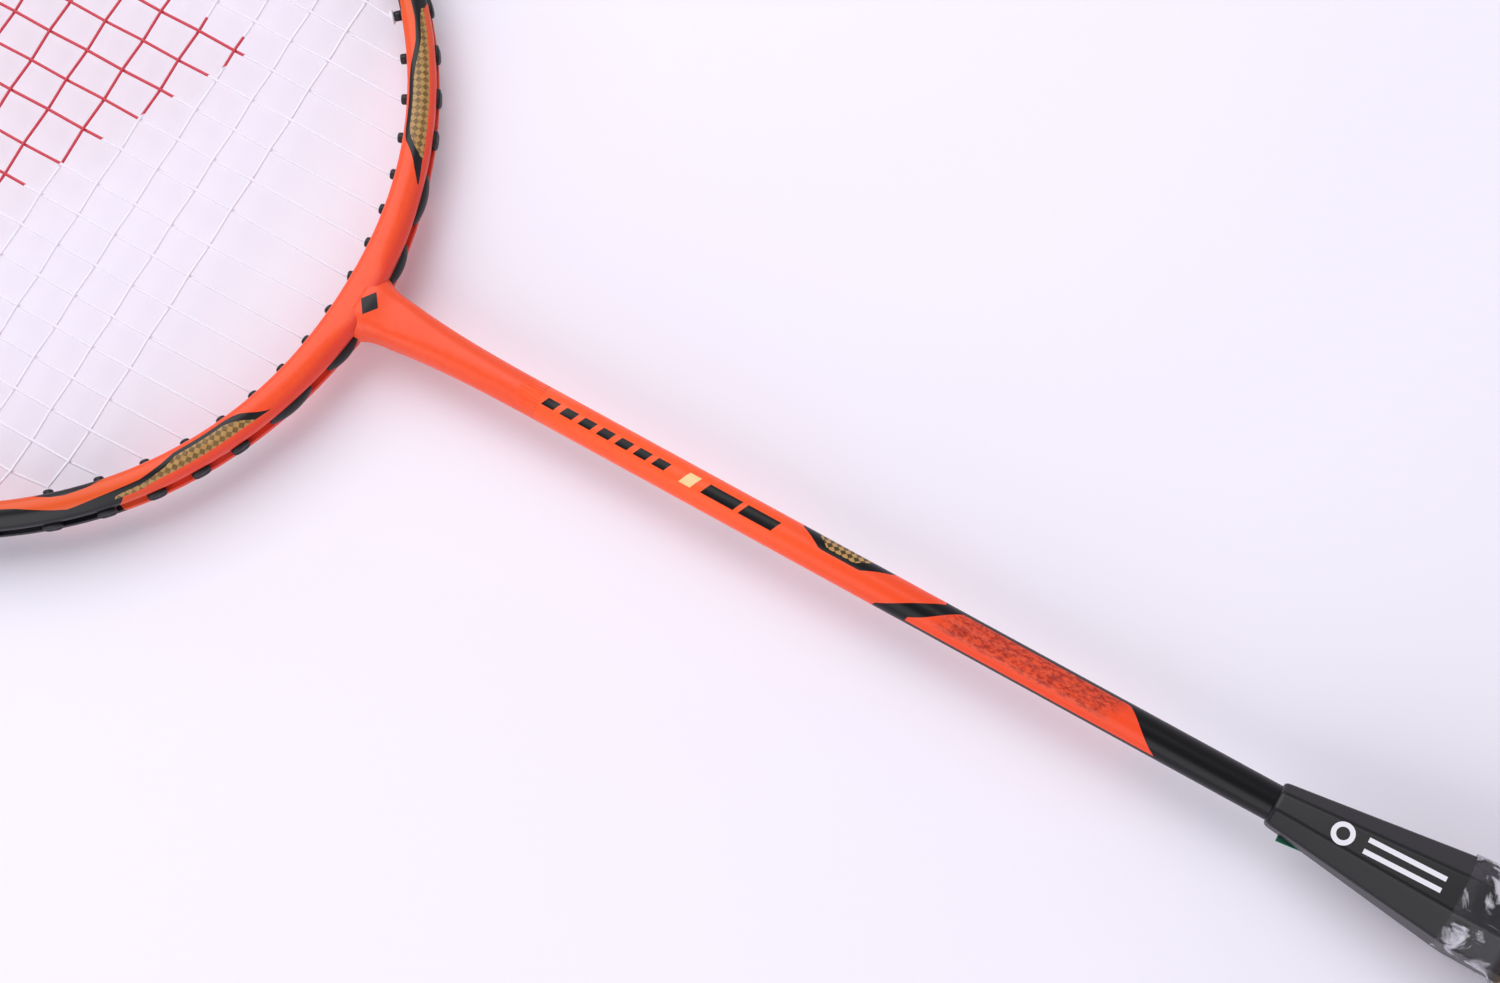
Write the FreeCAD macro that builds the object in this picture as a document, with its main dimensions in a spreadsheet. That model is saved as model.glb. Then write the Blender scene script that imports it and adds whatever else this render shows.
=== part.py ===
import FreeCAD, Part
import math
import os
import Sketcher
from FreeCAD import Placement, Rotation, Vector

# Badminton racket, lying flat.  Millimetres.
# Origin: centre of the butt end's flat face, on the shaft's axis.
# +Y runs from the butt to the top of the head, +X across the head, +Z out of the string bed.

os.makedirs("parts", exist_ok=True)
doc = FreeCAD.newDocument("badminton_racket")

SIZES = [
    ("overall_length", 675.0, "butt face to the top of the head"),
    ("bed_half_width", 94.0, "inner outline of the head, half its width"),
    ("bed_half_length", 119.3, "inner outline of the head, half its length"),
    ("outline_power", 2.15, "2 is an ellipse, more is squarer"),
    ("frame_width", 5.8, "frame section, in the plane of the strings"),
    ("frame_height", 10.4, "frame section, out of the plane of the strings"),
    ("throat_extra", 1.2, "how much wider the frame is at the throat"),
    ("throat_spread", 22.0, "how far along the frame that extra width reaches"),
    ("bevel_inner", 1.1, "bevel on the inner edges of the frame"),
    ("bevel_outer", 2.2, "bevel on the outer edges of the frame, across"),
    ("bevel_drop", 2.0, "bevel on the outer edges of the frame, down"),
    ("groove_depth", 1.7, "string groove round the outside of the frame"),
    ("groove_width", 3.3, "string groove, at its mouth"),
    ("groove_slope", 0.02, "each side of the groove leans in by this"),
    ("frame_wall", 1.0, "laminate of the hollow frame"),
    ("core_bevel", 1.2, "corner of the foam core"),
    ("core_gap", 0.02, "between the foam core and the laminate"),
    ("hole_gap", 0.05, "round a grommet's barrel"),
    ("barrel_diameter", 2.2, "outside of a grommet's barrel"),
    ("barrel_bore", 1.7, "inside of a grommet's barrel"),
    ("tip_proud", 1.7, "barrel past the frame's inner face"),
    ("pad_length", 4.0, "grommet's pad, along the frame"),
    ("pad_height", 3.2, "grommet's pad, across the frame"),
    ("pad_proud", 0.8, "grommet's pad past the frame's outer face"),
    ("pad_gap", 0.02, "between a pad and the bottom of the groove"),
    ("channel_width", 1.5, "slot in a pad for the strings"),
    ("channel_floor", 1.37, "bottom of that slot, below the frame's outer face"),
    ("first_hole_lean", 17.0, "degrees that the first holes lean away from the stem"),
    ("strip_holes", 2.0, "grommets joined in one throat strip"),
    ("top_strip_holes", 6.0, "grommets joined in one top strip"),
    ("string_diameter", 0.66, "both strings"),
    ("string_gap", 0.02, "between a main and a cross where they pass"),
    ("string_bend", 1.2, "radius where a string enters or leaves a grommet"),
    ("string_lead", 0.7, "straight stretch past a grommet's tip"),
    ("loop_depth", 1.0, "string's centre below the frame's outer face"),
    ("knot_thickness", 0.8, "turns of a tie-off knot"),
    ("knot_gap", 0.05, "inside those turns"),
    ("mains_per_side", 11.0, "mains each side of the middle"),
    ("first_main", 4.4, "first main from the middle"),
    ("main_pitch", 7.5, "main to main"),
    ("cross_count", 22.0, "crosses"),
    ("first_cross", 30.3, "lowest cross above the bottom of the inner outline"),
    ("cross_pitch", 9.15, "cross to cross"),
    ("share_reach", 4.6, "a main and a cross this close share a grommet"),
    ("shaft_diameter", 7.4, "shaft, outside"),
    ("shaft_bore", 5.0, "shaft, inside"),
    ("stem_length", 40.0, "moulded stem, from the frame's outer face to the shaft"),
    ("stem_width", 10.0, "stem where it leaves the frame"),
    ("stem_height", 8.8, "stem where it leaves the frame"),
    ("stem_corner", 2.6, "rounding of the stem's section at the frame"),
    ("stem_flare", 1.9, "how far the stem widens into the frame each side"),
    ("stem_root", 0.4, "how far the stem runs into the frame, as a share of its width"),
    ("stem_neck", 6.2, "where the flare has gone, below the frame"),
    ("joint_arm", 15.0, "joint insert, half its crossbar"),
    ("joint_leg", 84.0, "joint insert, leg below the frame's outer face"),
    ("joint_gap", 0.03, "round the joint insert's leg"),
    ("cone_length", 40.0, "tapered part of the cone, along the shaft"),
    ("skirt_length", 12.2, "straight part of the cone, next to the grip"),
    ("cone_lip", 0.6, "cone's wall round the shaft at its small end"),
    ("cone_base_width", 18.4, "cone, across its large end"),
    ("cone_base_depth", 19.8, "cone, front to back at its large end"),
    ("cone_wall", 1.6, "cone, wall"),
    ("cone_gap", 0.1, "between the cone and the shaft"),
    ("tenon_length", 27.0, "tapered part of the handle's nose, inside the cone"),
    ("nose_wall", 1.5, "wood round the glue at the nose's tip"),
    ("tenon_gap", 0.1, "between the nose and the cone"),
    ("handle_top", 167.0, "butt face to the cone"),
    ("core_width", 20.8, "wooden core, across"),
    ("core_depth", 22.2, "wooden core, front to back"),
    ("flare_length", 26.0, "swelling at the butt"),
    ("flare_extra", 4.4, "how much wider the core is at the butt"),
    ("corner_share", 0.29, "octagon's cut corner as a share of its width"),
    ("shaft_socket", 92.0, "shaft's length inside the wooden core"),
    ("glue_thickness", 0.25, "epoxy round the shaft"),
    ("plug_length", 12.0, "foam plug in the shaft's lower end"),
    ("cap_thickness", 3.0, "butt cap"),
    ("cap_bevel", 1.2, "bevel round the butt cap"),
    ("badge_diameter", 15.0, "disc in the butt cap"),
    ("badge_thickness", 1.0, "disc in the butt cap"),
    ("badge_gap", 0.05, "round that disc"),
    ("wrap_thickness", 1.7, "grip tape"),
    ("wrap_gap", 0.02, "between the grip tape and the core"),
    ("tape_width", 11.0, "finishing tape round the grip's upper end"),
    ("tape_thickness", 0.2, "finishing tape"),
    ("tape_setback", 1.0, "finishing tape below the grip's upper edge"),
    ("film_thickness", 0.3, "loose clear film sleeve"),
    ("film_gap", 0.25, "between the film and what it covers"),
    ("film_top", 181.6, "butt face to the film's upper edge"),
    ("film_step", 3.0, "the film swells over the grip's upper edge within this"),
    ("film_bottom", 4.0, "butt face to the film's lower edge"),
    ("tack_head", 3.2, "tack that holds the start of the grip tape"),
    ("tack_head_depth", 0.6, "tack's head"),
    ("tack_shank", 1.1, "tack's shank"),
    ("tack_length", 7.0, "tack, overall"),
    ("tack_sink", 0.2, "tack's head below the core's surface"),
    ("tack_place", 9.0, "butt face to the tack"),
    ("label_length", 9.0, "small label on the cone"),
    ("label_width", 4.6, "small label on the cone"),
    ("label_thickness", 0.12, "small label on the cone"),
    ("label_gap", 0.02, "between that label and the cone"),
    ("label_place", 7.4, "cone's tip to the middle of the label"),
    ("label_turn", 135.0, "degrees from the cone's front round to the label, on the left"),
]

sheet = doc.addObject("Spreadsheet::Sheet", "sizes")
for row, (alias, number, note) in enumerate(SIZES, start=1):
    sheet.set("A%d" % row, alias)
    sheet.set("B%d" % row, str(number))
    sheet.setAlias("B%d" % row, alias)
    sheet.set("C%d" % row, note)
doc.recompute()


def size(alias):
    return float(sheet.get(alias))


CUT_PAST = 3.0  # a cutting tool runs this far past what it cuts
OVERLAP = 1.0  # solids that are fused or bored run this far into each other
BARREL_BITE = 0.2  # a barrel runs this far into its pad
LINK_SETBACK = 0.15  # a bar between pads stops this far above their bottoms
SETTLE_ROUNDS = 4  # rounds in which a string's hole settles on the outline
STEEPEST_HOLE = 0.5  # cosine between a hole and the outline's normal, at least
STRAIGHT_ENOUGH = math.radians(0.5)  # a smaller turn of a string has no bend
BEND_SHARE = 0.45  # a bend takes this share of the shorter run beside it
FLARE_STEPS = ((0.3, 1.6), (1.6, 0.7), (3.4, 0.1))  # (below the frame, flares wider)
NECK_SHRINK = (0.98, 0.985)  # width and height of the stem at its neck
STEM_SHARES = (0.2, 0.45, 0.7, 1.0)  # sections from the stem's neck to the shaft
STEM_FADE = 2.6  # how soon the stem slims down to the shaft
ROUNDEST = 0.98  # a section this close to a circle stays a rounded rectangle
LOWER_LAST_CROSS = 1  # the lower set of grommets ends at this cross


# ---------------------------------------------------------------- document helpers

NODES = []


def keep(obj, label):
    """Name a finished sub-part, which is then exported under that name."""
    obj.Label = label
    NODES.append(obj)
    return obj


def bind(obj, **expressions):
    for prop, text in expressions.items():
        obj.setExpression(prop, text)


def new_body(label):
    body = doc.addObject("PartDesign::Body", label)
    return keep(body, label)


def origin_plane(body, role):
    return [item for item in body.Origin.OriginFeatures if item.Role == role][0]


def cross_section_sketch(body, name, y_text):
    """A sketch square to the shaft: its x is +X, its y is +Z, its normal is -Y."""
    sketch = body.newObject("Sketcher::SketchObject", name)
    sketch.AttachmentSupport = (origin_plane(body, "XZ_Plane"), "")
    sketch.MapMode = "FlatFace"
    sketch.setExpression("AttachmentOffset.Base.z", "-(%s)" % y_text)
    return sketch


def add_circle(sketch, diameter_text):
    index = sketch.addGeometry(Part.Circle(Vector(0, 0, 0), Vector(0, 0, 1), 1.0), False)
    sketch.addConstraint(Sketcher.Constraint("Coincident", index, 3, -1, 1))
    place = sketch.addConstraint(Sketcher.Constraint("Diameter", index, 2.0))
    sketch.setExpression("Constraints[%d]" % place, diameter_text)


def add_octagon(sketch, width_text, depth_text):
    """An octagon about the axis, its eight corners tied to width, depth and the cut corner."""
    half_x = "(%s) / 2" % width_text
    half_y = "(%s) / 2" % depth_text
    short_x = "(%s) * (0.5 - sizes.corner_share)" % width_text
    short_y = "(%s) / 2 - (%s) * sizes.corner_share" % (depth_text, width_text)
    corners = [
        (half_x, short_y, 1, 1), (short_x, half_y, 1, 1),
        (short_x, half_y, -1, 1), (half_x, short_y, -1, 1),
        (half_x, short_y, -1, -1), (short_x, half_y, -1, -1),
        (short_x, half_y, 1, -1), (half_x, short_y, 1, -1),
    ]
    guess = [math.radians(22.5 + 45.0 * i) for i in range(8)]
    points = [Vector(10 * math.cos(a), 10 * math.sin(a), 0) for a in guess]
    first = sketch.GeometryCount
    for i in range(8):
        sketch.addGeometry(Part.LineSegment(points[i], points[(i + 1) % 8]), False)
    for i in range(8):
        link = Sketcher.Constraint("Coincident", first + i, 2, first + (i + 1) % 8, 1)
        sketch.addConstraint(link)
    for i, (x_text, y_text, x_sign, y_sign) in enumerate(corners):
        for kind, text, sign, start in (("DistanceX", x_text, x_sign, points[i].x),
                                        ("DistanceY", y_text, y_sign, points[i].y)):
            ends = (-1, 1, first + i, 1) if sign > 0 else (first + i, 1, -1, 1)
            place = sketch.addConstraint(Sketcher.Constraint(kind, *ends, abs(start)))
            sketch.setExpression("Constraints[%d]" % place, text)


def pad_down(body, sketch, length_text):
    """Pad towards the butt, which is the way a cross-section sketch faces."""
    pad = body.newObject("PartDesign::Pad", "pad")
    pad.Profile = sketch
    pad.setExpression("Length", length_text)
    return pad


def pocket_down(body, sketch, length_text):
    pocket = body.newObject("PartDesign::Pocket", "pocket")
    pocket.Profile = sketch
    pocket.Reversed = True
    pocket.setExpression("Length", length_text)
    return pocket


def octagon_loft(body, kind, stations):
    """A ruled loft through octagons, each station (y, width, depth)."""
    sketches = []
    for number, (y_text, width_text, depth_text) in enumerate(stations):
        sketch = cross_section_sketch(body, "octagon_%d" % number, y_text)
        add_octagon(sketch, width_text, depth_text)
        sketches.append(sketch)
    doc.recompute()
    loft = body.newObject(kind, "loft")
    loft.Ruled = True
    loft.Profile = sketches[0]
    loft.Sections = sketches[1:]
    return loft


def tube_body(label, outer_text, inner_text, top_text, length_text):
    body = new_body(label)
    sketch = cross_section_sketch(body, "ring", top_text)
    add_circle(sketch, outer_text)
    add_circle(sketch, inner_text)
    pad_down(body, sketch, length_text)
    return body


def coded_part(label, shape, place=Placement()):
    feature = doc.addObject("Part::Feature", label)
    feature.Shape = shape
    feature.Placement = place
    return keep(feature, label)


# ---------------------------------------------------------------- outline of the head

HALF_WIDTH = size("bed_half_width")
HALF_LENGTH = size("bed_half_length")
POWER = size("outline_power")
HEAD_Y = size("overall_length") - size("pad_proud") - size("frame_width") - HALF_LENGTH
OUTLINE_POINTS = 64


def outline_x(height):
    """Inner outline's x at a height above the head's centre."""
    return HALF_WIDTH * (1 - abs(height / HALF_LENGTH) ** POWER) ** (1 / POWER)


def outline_y(x):
    """Inner outline's distance from the head's centre, along Y, at an x."""
    return HALF_LENGTH * (1 - abs(x / HALF_WIDTH) ** POWER) ** (1 / POWER)


def outward(x, y):
    """Unit normal of the inner outline at a point on it, from the head's centre."""
    across = math.copysign(abs(x) ** (POWER - 1) / HALF_WIDTH ** POWER, x)
    along = math.copysign(abs(y) ** (POWER - 1) / HALF_LENGTH ** POWER, y)
    return Vector(across, along, 0).normalize()


def width_at(x, y):
    """Frame's width at a point of the inner outline: more at the throat."""
    if y > 0:
        return size("frame_width")
    swell = math.exp(-(x / size("throat_spread")) ** 2)
    return size("frame_width") + size("throat_extra") * swell


def outline_loop(offset, z):
    """A closed smooth edge round the head; offset(width) is its distance outward."""
    points = []
    for i in range(OUTLINE_POINTS):
        angle = 2 * math.pi * (i + 0.5) / OUTLINE_POINTS
        cosine = math.cos(angle)
        sine = math.sin(angle)
        x = math.copysign(HALF_WIDTH * abs(cosine) ** (2 / POWER), cosine)
        y = math.copysign(HALF_LENGTH * abs(sine) ** (2 / POWER), sine)
        point = Vector(x, y + HEAD_Y, z) + outward(x, y) * offset(width_at(x, y))
        points.append(point)
    curve = Part.BSplineCurve()
    curve.interpolate(points, PeriodicFlag=True)
    return curve.toShape()


def ring_solid(profile):
    """A solid ring round the head; profile is a list of (offset(width), z)."""
    loops = [outline_loop(offset, z) for offset, z in profile]
    count = len(loops)
    faces = [Part.makeRuledSurface(loops[i], loops[(i + 1) % count]) for i in range(count)]
    shell = Part.makeShell(faces)
    shell.sewShape()
    solid = Part.makeSolid(shell)
    if solid.Volume < 0:
        solid.reverse()
    return solid


def both_halves(upper):
    """Mirror the upper half of a frame section below the string plane."""
    return upper + [(offset, -z) for offset, z in reversed(upper)]


def frame_profile():
    top = size("frame_height") / 2
    mouth = size("groove_width") / 2
    inner = size("bevel_inner")
    outer = size("bevel_outer")
    drop = size("bevel_drop")
    depth = size("groove_depth")
    lean = size("groove_slope")
    return both_halves([
        (lambda width: 0.0, top - inner),
        (lambda width: inner, top),
        (lambda width: width - outer, top),
        (lambda width: width, top - drop),
        (lambda width: width, mouth),
        (lambda width: width - depth, mouth - lean),
    ])


def core_profile(gap):
    top = size("frame_height") / 2 - size("frame_wall") - gap
    near = size("frame_wall") + gap
    far = size("frame_wall") + size("groove_depth") + gap
    bevel = size("core_bevel")
    return both_halves([
        (lambda width: near, top - bevel),
        (lambda width: near + bevel, top),
        (lambda width: width - far - bevel, top),
        (lambda width: width - far, top - bevel),
    ])


# ---------------------------------------------------------------- string holes

class StringHole:
    """One grommet hole: where it meets the inner outline, and which way it runs."""

    def __init__(self, name, x, y, lean=0.0):
        self.name = name
        normal = outward(x, y)
        self.width = width_at(x, y)
        self.inner = Vector(x, y + HEAD_Y, 0)
        self.axis = Rotation(Vector(0, 0, 1), lean).multVec(normal)
        self.run = self.width / max(self.axis.dot(normal), STEEPEST_HOLE)
        self.tip = self.inner - self.axis * size("tip_proud")
        self.outer = self.inner + self.axis * self.run
        self.bend = self.tip - self.axis * size("string_lead")
        self.turn = self.outer - self.axis * size("loop_depth")

    def mirrored(self):
        other = StringHole.__new__(StringHole)
        other.name = self.name
        other.width = self.width
        other.run = self.run
        for key in ("inner", "axis", "tip", "outer", "bend", "turn"):
            vector = getattr(self, key)
            setattr(other, key, Vector(-vector.x, vector.y, vector.z))
        return other


def main_end(x, end):
    """Point of the inner outline where a main at x meets it, tip on the main's line."""
    edge_x = x
    for _ in range(SETTLE_ROUNDS):
        edge_x = x + outward(edge_x, end * outline_y(edge_x)).x * size("tip_proud")
    return edge_x, end * outline_y(edge_x)


def cross_end(height):
    edge_y = height
    for _ in range(SETTLE_ROUNDS):
        edge_y = height + outward(outline_x(edge_y), edge_y).y * size("tip_proud")
    return outline_x(edge_y), edge_y


def right_side_holes():
    """Holes of the right half, from the throat round to the top."""
    ends = []
    for number in range(int(size("mains_per_side"))):
        x = size("first_main") + number * size("main_pitch")
        for end, place in ((-1, "bottom"), (1, "top")):
            ends.append((["main", number, place], main_end(x, end)))
    crosses = []
    for number in range(int(size("cross_count"))):
        height = size("first_cross") + number * size("cross_pitch") - HALF_LENGTH
        crosses.append((["cross", number, "side"], cross_end(height)))
    holes = []
    taken = set()
    for key, (x, y) in ends:
        near = min(crosses, key=lambda item: math.hypot(item[1][0] - x, item[1][1] - y))
        gap = math.hypot(near[1][0] - x, near[1][1] - y)
        names = {tuple(key)}
        if gap < size("share_reach") and near[0][1] not in taken:
            taken.add(near[0][1])
            names.add(tuple(near[0]))
            y = (y + near[1][1]) / 2
            x = outline_x(y)
        lean = size("first_hole_lean") if key[1:] == [0, "bottom"] else 0.0
        holes.append(StringHole(names, x, y, lean))
    for key, (x, y) in crosses:
        if key[1] not in taken:
            holes.append(StringHole({tuple(key)}, x, y))
    return sorted(holes, key=lambda hole: math.atan2(hole.inner.x, HEAD_Y - hole.inner.y))


RIGHT_HOLES = right_side_holes()
LEFT_HOLES = [hole.mirrored() for hole in RIGHT_HOLES]
SIDES = {1: RIGHT_HOLES, -1: LEFT_HOLES}


def hole_index(kind, number, place):
    for index, hole in enumerate(RIGHT_HOLES):
        if (kind, number, place) in hole.name:
            return index


def hole_cylinder(hole, radius):
    start = hole.tip - hole.axis * CUT_PAST
    length = size("tip_proud") + hole.run + 2 * CUT_PAST
    return Part.makeCylinder(radius, length, start, hole.axis)


def frame_holes():
    radius = size("barrel_diameter") / 2 + size("hole_gap")
    holes = []
    for hole in RIGHT_HOLES + LEFT_HOLES:
        start = hole.inner - hole.axis * size("tip_proud")
        length = size("tip_proud") + hole.run + size("pad_proud")
        holes.append(Part.makeCylinder(radius, length, start, hole.axis))
    return Part.makeCompound(holes)


# ---------------------------------------------------------------- frame, foam core, joint insert

THROAT_INNER = HEAD_Y - HALF_LENGTH
THROAT_OUTER = THROAT_INNER - width_at(0.0, -HALF_LENGTH)
STEM_END = THROAT_OUTER - size("stem_length")
BORE_TOP = THROAT_OUTER + size("frame_wall") + size("groove_depth") + OVERLAP


def rounded_section(y, width, height, radius):
    """A rounded rectangle square to the shaft, as one wire."""
    flat_x = width / 2 - radius
    flat_z = height / 2 - radius
    edges = []
    previous = None
    for quarter in range(4):
        middle = math.radians(45 + 90 * quarter)
        centre = Vector(math.copysign(flat_x, math.cos(middle)), y,
                        math.copysign(flat_z, math.sin(middle)))
        ends = []
        for angle in (middle - math.pi / 4, middle, middle + math.pi / 4):
            ends.append(centre + Vector(math.cos(angle), 0, math.sin(angle)) * radius)
        if previous:
            edges.append(Part.LineSegment(previous, ends[0]).toShape())
        edges.append(Part.Arc(ends[0], ends[1], ends[2]).toShape())
        previous = ends[2]
    edges.append(Part.LineSegment(previous, edges[0].Vertexes[0].Point).toShape())
    return Part.Wire(edges)


def stem_solid():
    """The stem: flared where it leaves the frame, round where it meets the shaft."""
    width = size("stem_width")
    height = size("stem_height")
    flare = size("stem_flare")
    round_end = size("shaft_diameter")
    corner = size("stem_corner")
    inside = width_at(0.0, -HALF_LENGTH) * size("stem_root")
    neck = size("stem_neck")
    stations = [(-inside, width + 2 * flare, height, corner)]
    for reach, flares in FLARE_STEPS:
        stations.append((reach, width + flares * flare, height, corner))
    stations.append((neck, width * NECK_SHRINK[0], height * NECK_SHRINK[1], corner))
    for share in STEM_SHARES:
        fade = (1 - share) ** STEM_FADE
        reach = neck + (size("stem_length") - neck) * share
        wide = round_end + (width - round_end) * fade
        tall = round_end + (height - round_end) * fade
        rounding = min(wide, tall) / 2 * ROUNDEST * (1 - fade) + corner * fade
        stations.append((reach, wide, tall, rounding))
    wires = [rounded_section(THROAT_OUTER - reach, *rest) for reach, *rest in stations]
    return Part.makeLoft(wires, True, False)


def throat_box(arm):
    """A box round the throat, this far to each side of the stem."""
    height = size("frame_height")
    reach = size("frame_width") + size("throat_extra") + size("joint_arm")
    return Part.makeBox(2 * arm, reach, height, Vector(-arm, THROAT_OUTER, -height / 2))


def joint_blank(gap):
    """Crossbar that fills the hollow frame at the throat, and the leg down the stem."""
    crossbar = ring_solid(core_profile(gap)).common(throat_box(size("joint_arm") - gap))
    length = BORE_TOP - (THROAT_OUTER - size("joint_leg"))
    leg = Part.makeCylinder(size("shaft_bore") / 2 - gap, length,
                            Vector(0, BORE_TOP, 0), Vector(0, -1, 0))
    return crossbar.fuse(leg)


def foam_core():
    gap = size("core_gap")
    return ring_solid(core_profile(gap)).cut(throat_box(size("joint_arm") + gap))


def build_frame():
    holes = frame_holes()
    skin = ring_solid(frame_profile()).fuse(stem_solid())
    hollow = ring_solid(core_profile(0.0))
    bore = Part.makeCylinder(size("shaft_bore") / 2, BORE_TOP - STEM_END + OVERLAP,
                             Vector(0, BORE_TOP, 0), Vector(0, -1, 0))
    seats = Part.makeCompound([pad_seat(hole) for hole in (RIGHT_HOLES[0], LEFT_HOLES[0])])
    frame = skin.cut([hollow, bore, holes, seats])
    coded_part("head_frame", frame.removeSplitter())
    coded_part("frame_foam_core", foam_core().cut(holes))
    coded_part("joint_insert", joint_blank(size("joint_gap")).cut(holes))


# ---------------------------------------------------------------- grommets

def flat_matrix(along, away, origin):
    """Turn x to along and y to away, both in the string plane, and move to a point."""
    return FreeCAD.Matrix(
        along.x, away.x, 0, origin.x,
        along.y, away.y, 0, origin.y,
        0, 0, 1, origin.z,
        0, 0, 0, 1)


def local_frame(hole):
    """Placement at the frame's outer face: x along the frame, y outward, z up."""
    along = Vector(hole.axis.y, -hole.axis.x, 0)
    return Placement(flat_matrix(along, hole.axis, hole.outer))


def chord_frame(first, second):
    """Length of the chord between two holes, and the matrix with x along it, y outward."""
    chord = second.outer - first.outer
    along = Vector(chord).normalize()
    away = Vector(-along.y, along.x, 0)
    if away.dot(first.axis) < 0:
        away = away * -1
    return chord.Length, flat_matrix(along, away, first.outer)


def stadium(length, height, low, high):
    """A round-ended pad, from low to high along y."""
    radius = height / 2
    flat = length / 2 - radius
    box = Part.makeBox(2 * flat, high - low, height, Vector(-flat, low, -radius))
    ends = []
    for side in (-1, 1):
        ends.append(Part.makeCylinder(radius, high - low, Vector(side * flat, low, 0),
                                      Vector(0, 1, 0)))
    return box.fuse(ends)


def pad_blank(hole, extra=0.0):
    low = -size("groove_depth") + size("pad_gap") - extra
    pad = stadium(size("pad_length") + 2 * extra, size("pad_height") + 2 * extra, low,
                  size("pad_proud") + extra)
    pad.Placement = local_frame(hole)
    return pad


def pad_seat(hole):
    """Room for a pad where the stem swells over the groove."""
    return pad_blank(hole, size("hole_gap"))


def link_bar(first, second):
    """The bar that joins two pads of one strip."""
    length, matrix = chord_frame(first, second)
    height = size("pad_height")
    low = -size("groove_depth") + size("pad_gap") + LINK_SETBACK
    bar = Part.makeBox(length, size("pad_proud") - low, height, Vector(0, low, -height / 2))
    bar.transformShape(matrix)
    return bar


def channel_box(length):
    """The slot that a string lies in, reaching past both ends of a run this long."""
    reach = size("pad_length")
    width = size("channel_width")
    return Part.makeBox(length + 2 * reach, CUT_PAST, width,
                        Vector(-reach, -size("channel_floor"), -width / 2))


def channel_cut(first, second):
    """The slot from one turning point of a string loop to the next."""
    length, matrix = chord_frame(first, second)
    box = channel_box(length)
    box.transformShape(matrix)
    return box


def barrel(hole):
    length = size("tip_proud") + hole.run - size("groove_depth") + 2 * size("pad_gap") + BARREL_BITE
    return Part.makeCylinder(size("barrel_diameter") / 2, length, hole.tip, hole.axis)


def grommet(holes):
    """One moulded grommet: a barrel and pad for each hole, joined when there are several."""
    solids = []
    for hole in holes:
        solids.append(barrel(hole))
        solids.append(pad_blank(hole))
    for first, second in zip(holes, holes[1:]):
        solids.append(link_bar(first, second))
    body = solids[0].fuse(solids[1:])
    cuts = [hole_cylinder(hole, size("barrel_bore") / 2) for hole in holes]
    if len(holes) > 1:
        cuts += [channel_cut(first, second) for first, second in zip(holes, holes[1:])]
    else:
        slot = channel_box(0.0)
        slot.Placement = local_frame(holes[0])
        cuts.append(slot)
    return body.cut(cuts).removeSplitter()


def build_grommets():
    strip = int(size("strip_holes"))
    top = int(size("top_strip_holes"))
    count = len(RIGHT_HOLES)
    for side, side_name in ((1, "right"), (-1, "left")):
        holes = SIDES[side]
        coded_part("throat_strip_inner_" + side_name, grommet(holes[:strip]))
        coded_part("throat_strip_outer_" + side_name, grommet(holes[strip:2 * strip]))
        coded_part("top_strip_" + side_name, grommet(holes[count - top:]))
        singles = range(2 * strip, count - top)
        last_main = int(size("mains_per_side")) - 1
        lower = [i for i in singles if i <= hole_index("cross", LOWER_LAST_CROSS, "side")]
        upper = [i for i in singles if i >= hole_index("main", last_main, "top")]
        side_run = [i for i in singles if i not in lower and i not in upper]
        for part_name, indexes in (("lower", lower), ("side", side_run), ("upper", upper)):
            solids = [grommet([holes[i]]) for i in indexes]
            coded_part("grommets_%s_%s" % (part_name, side_name), Part.makeCompound(solids))


# ---------------------------------------------------------------- strings

def string_height(kind):
    """Mains lie just above the middle plane and crosses just below it."""
    half = (size("string_diameter") + size("string_gap")) / 2
    return half if kind == "main" else -half


def tie_holes():
    """Holes where the strings tie off, each next below the last hole that they run through."""
    last_main = int(size("mains_per_side")) - 1
    last_cross = int(size("cross_count")) - 1
    main_place = "top" if last_main % 2 else "bottom"
    return {"main": hole_index("main", last_main, main_place) - 1,
            "low": hole_index("cross", 0, "side") - 1,
            "high": hole_index("cross", last_cross, "side") - 1}


def outside_loop(start, stop):
    """Turning points from one hole to another, outside the frame."""
    step = 1 if stop[1] > start[1] else -1
    indexes = range(start[1], stop[1] + step, step)
    return [SIDES[start[0]][i].turn for i in indexes]


def main_route():
    """From the left tie-off, through every main, to the right tie-off."""
    count = int(size("mains_per_side"))
    route = []
    for side in (-1, 1):
        half = []
        for number in range(count):
            ends = [(side, hole_index("main", number, "top")),
                    (side, hole_index("main", number, "bottom"))]
            if number % 2:
                ends.reverse()
            half.append(ends)
        path = []
        for number, (first, last) in enumerate(half):
            if number:
                path += outside_loop(half[number - 1][1], first)[1:-1]
            path += [SIDES[side][first[1]].turn, SIDES[side][first[1]].bend,
                     SIDES[side][last[1]].bend, SIDES[side][last[1]].turn]
        tie = tie_holes()["main"]
        path += outside_loop(half[-1][1], (side, tie))[1:]
        path.append(SIDES[side][tie].bend)
        route.append(path)
    return list(reversed(route[0])) + route[1]


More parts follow.
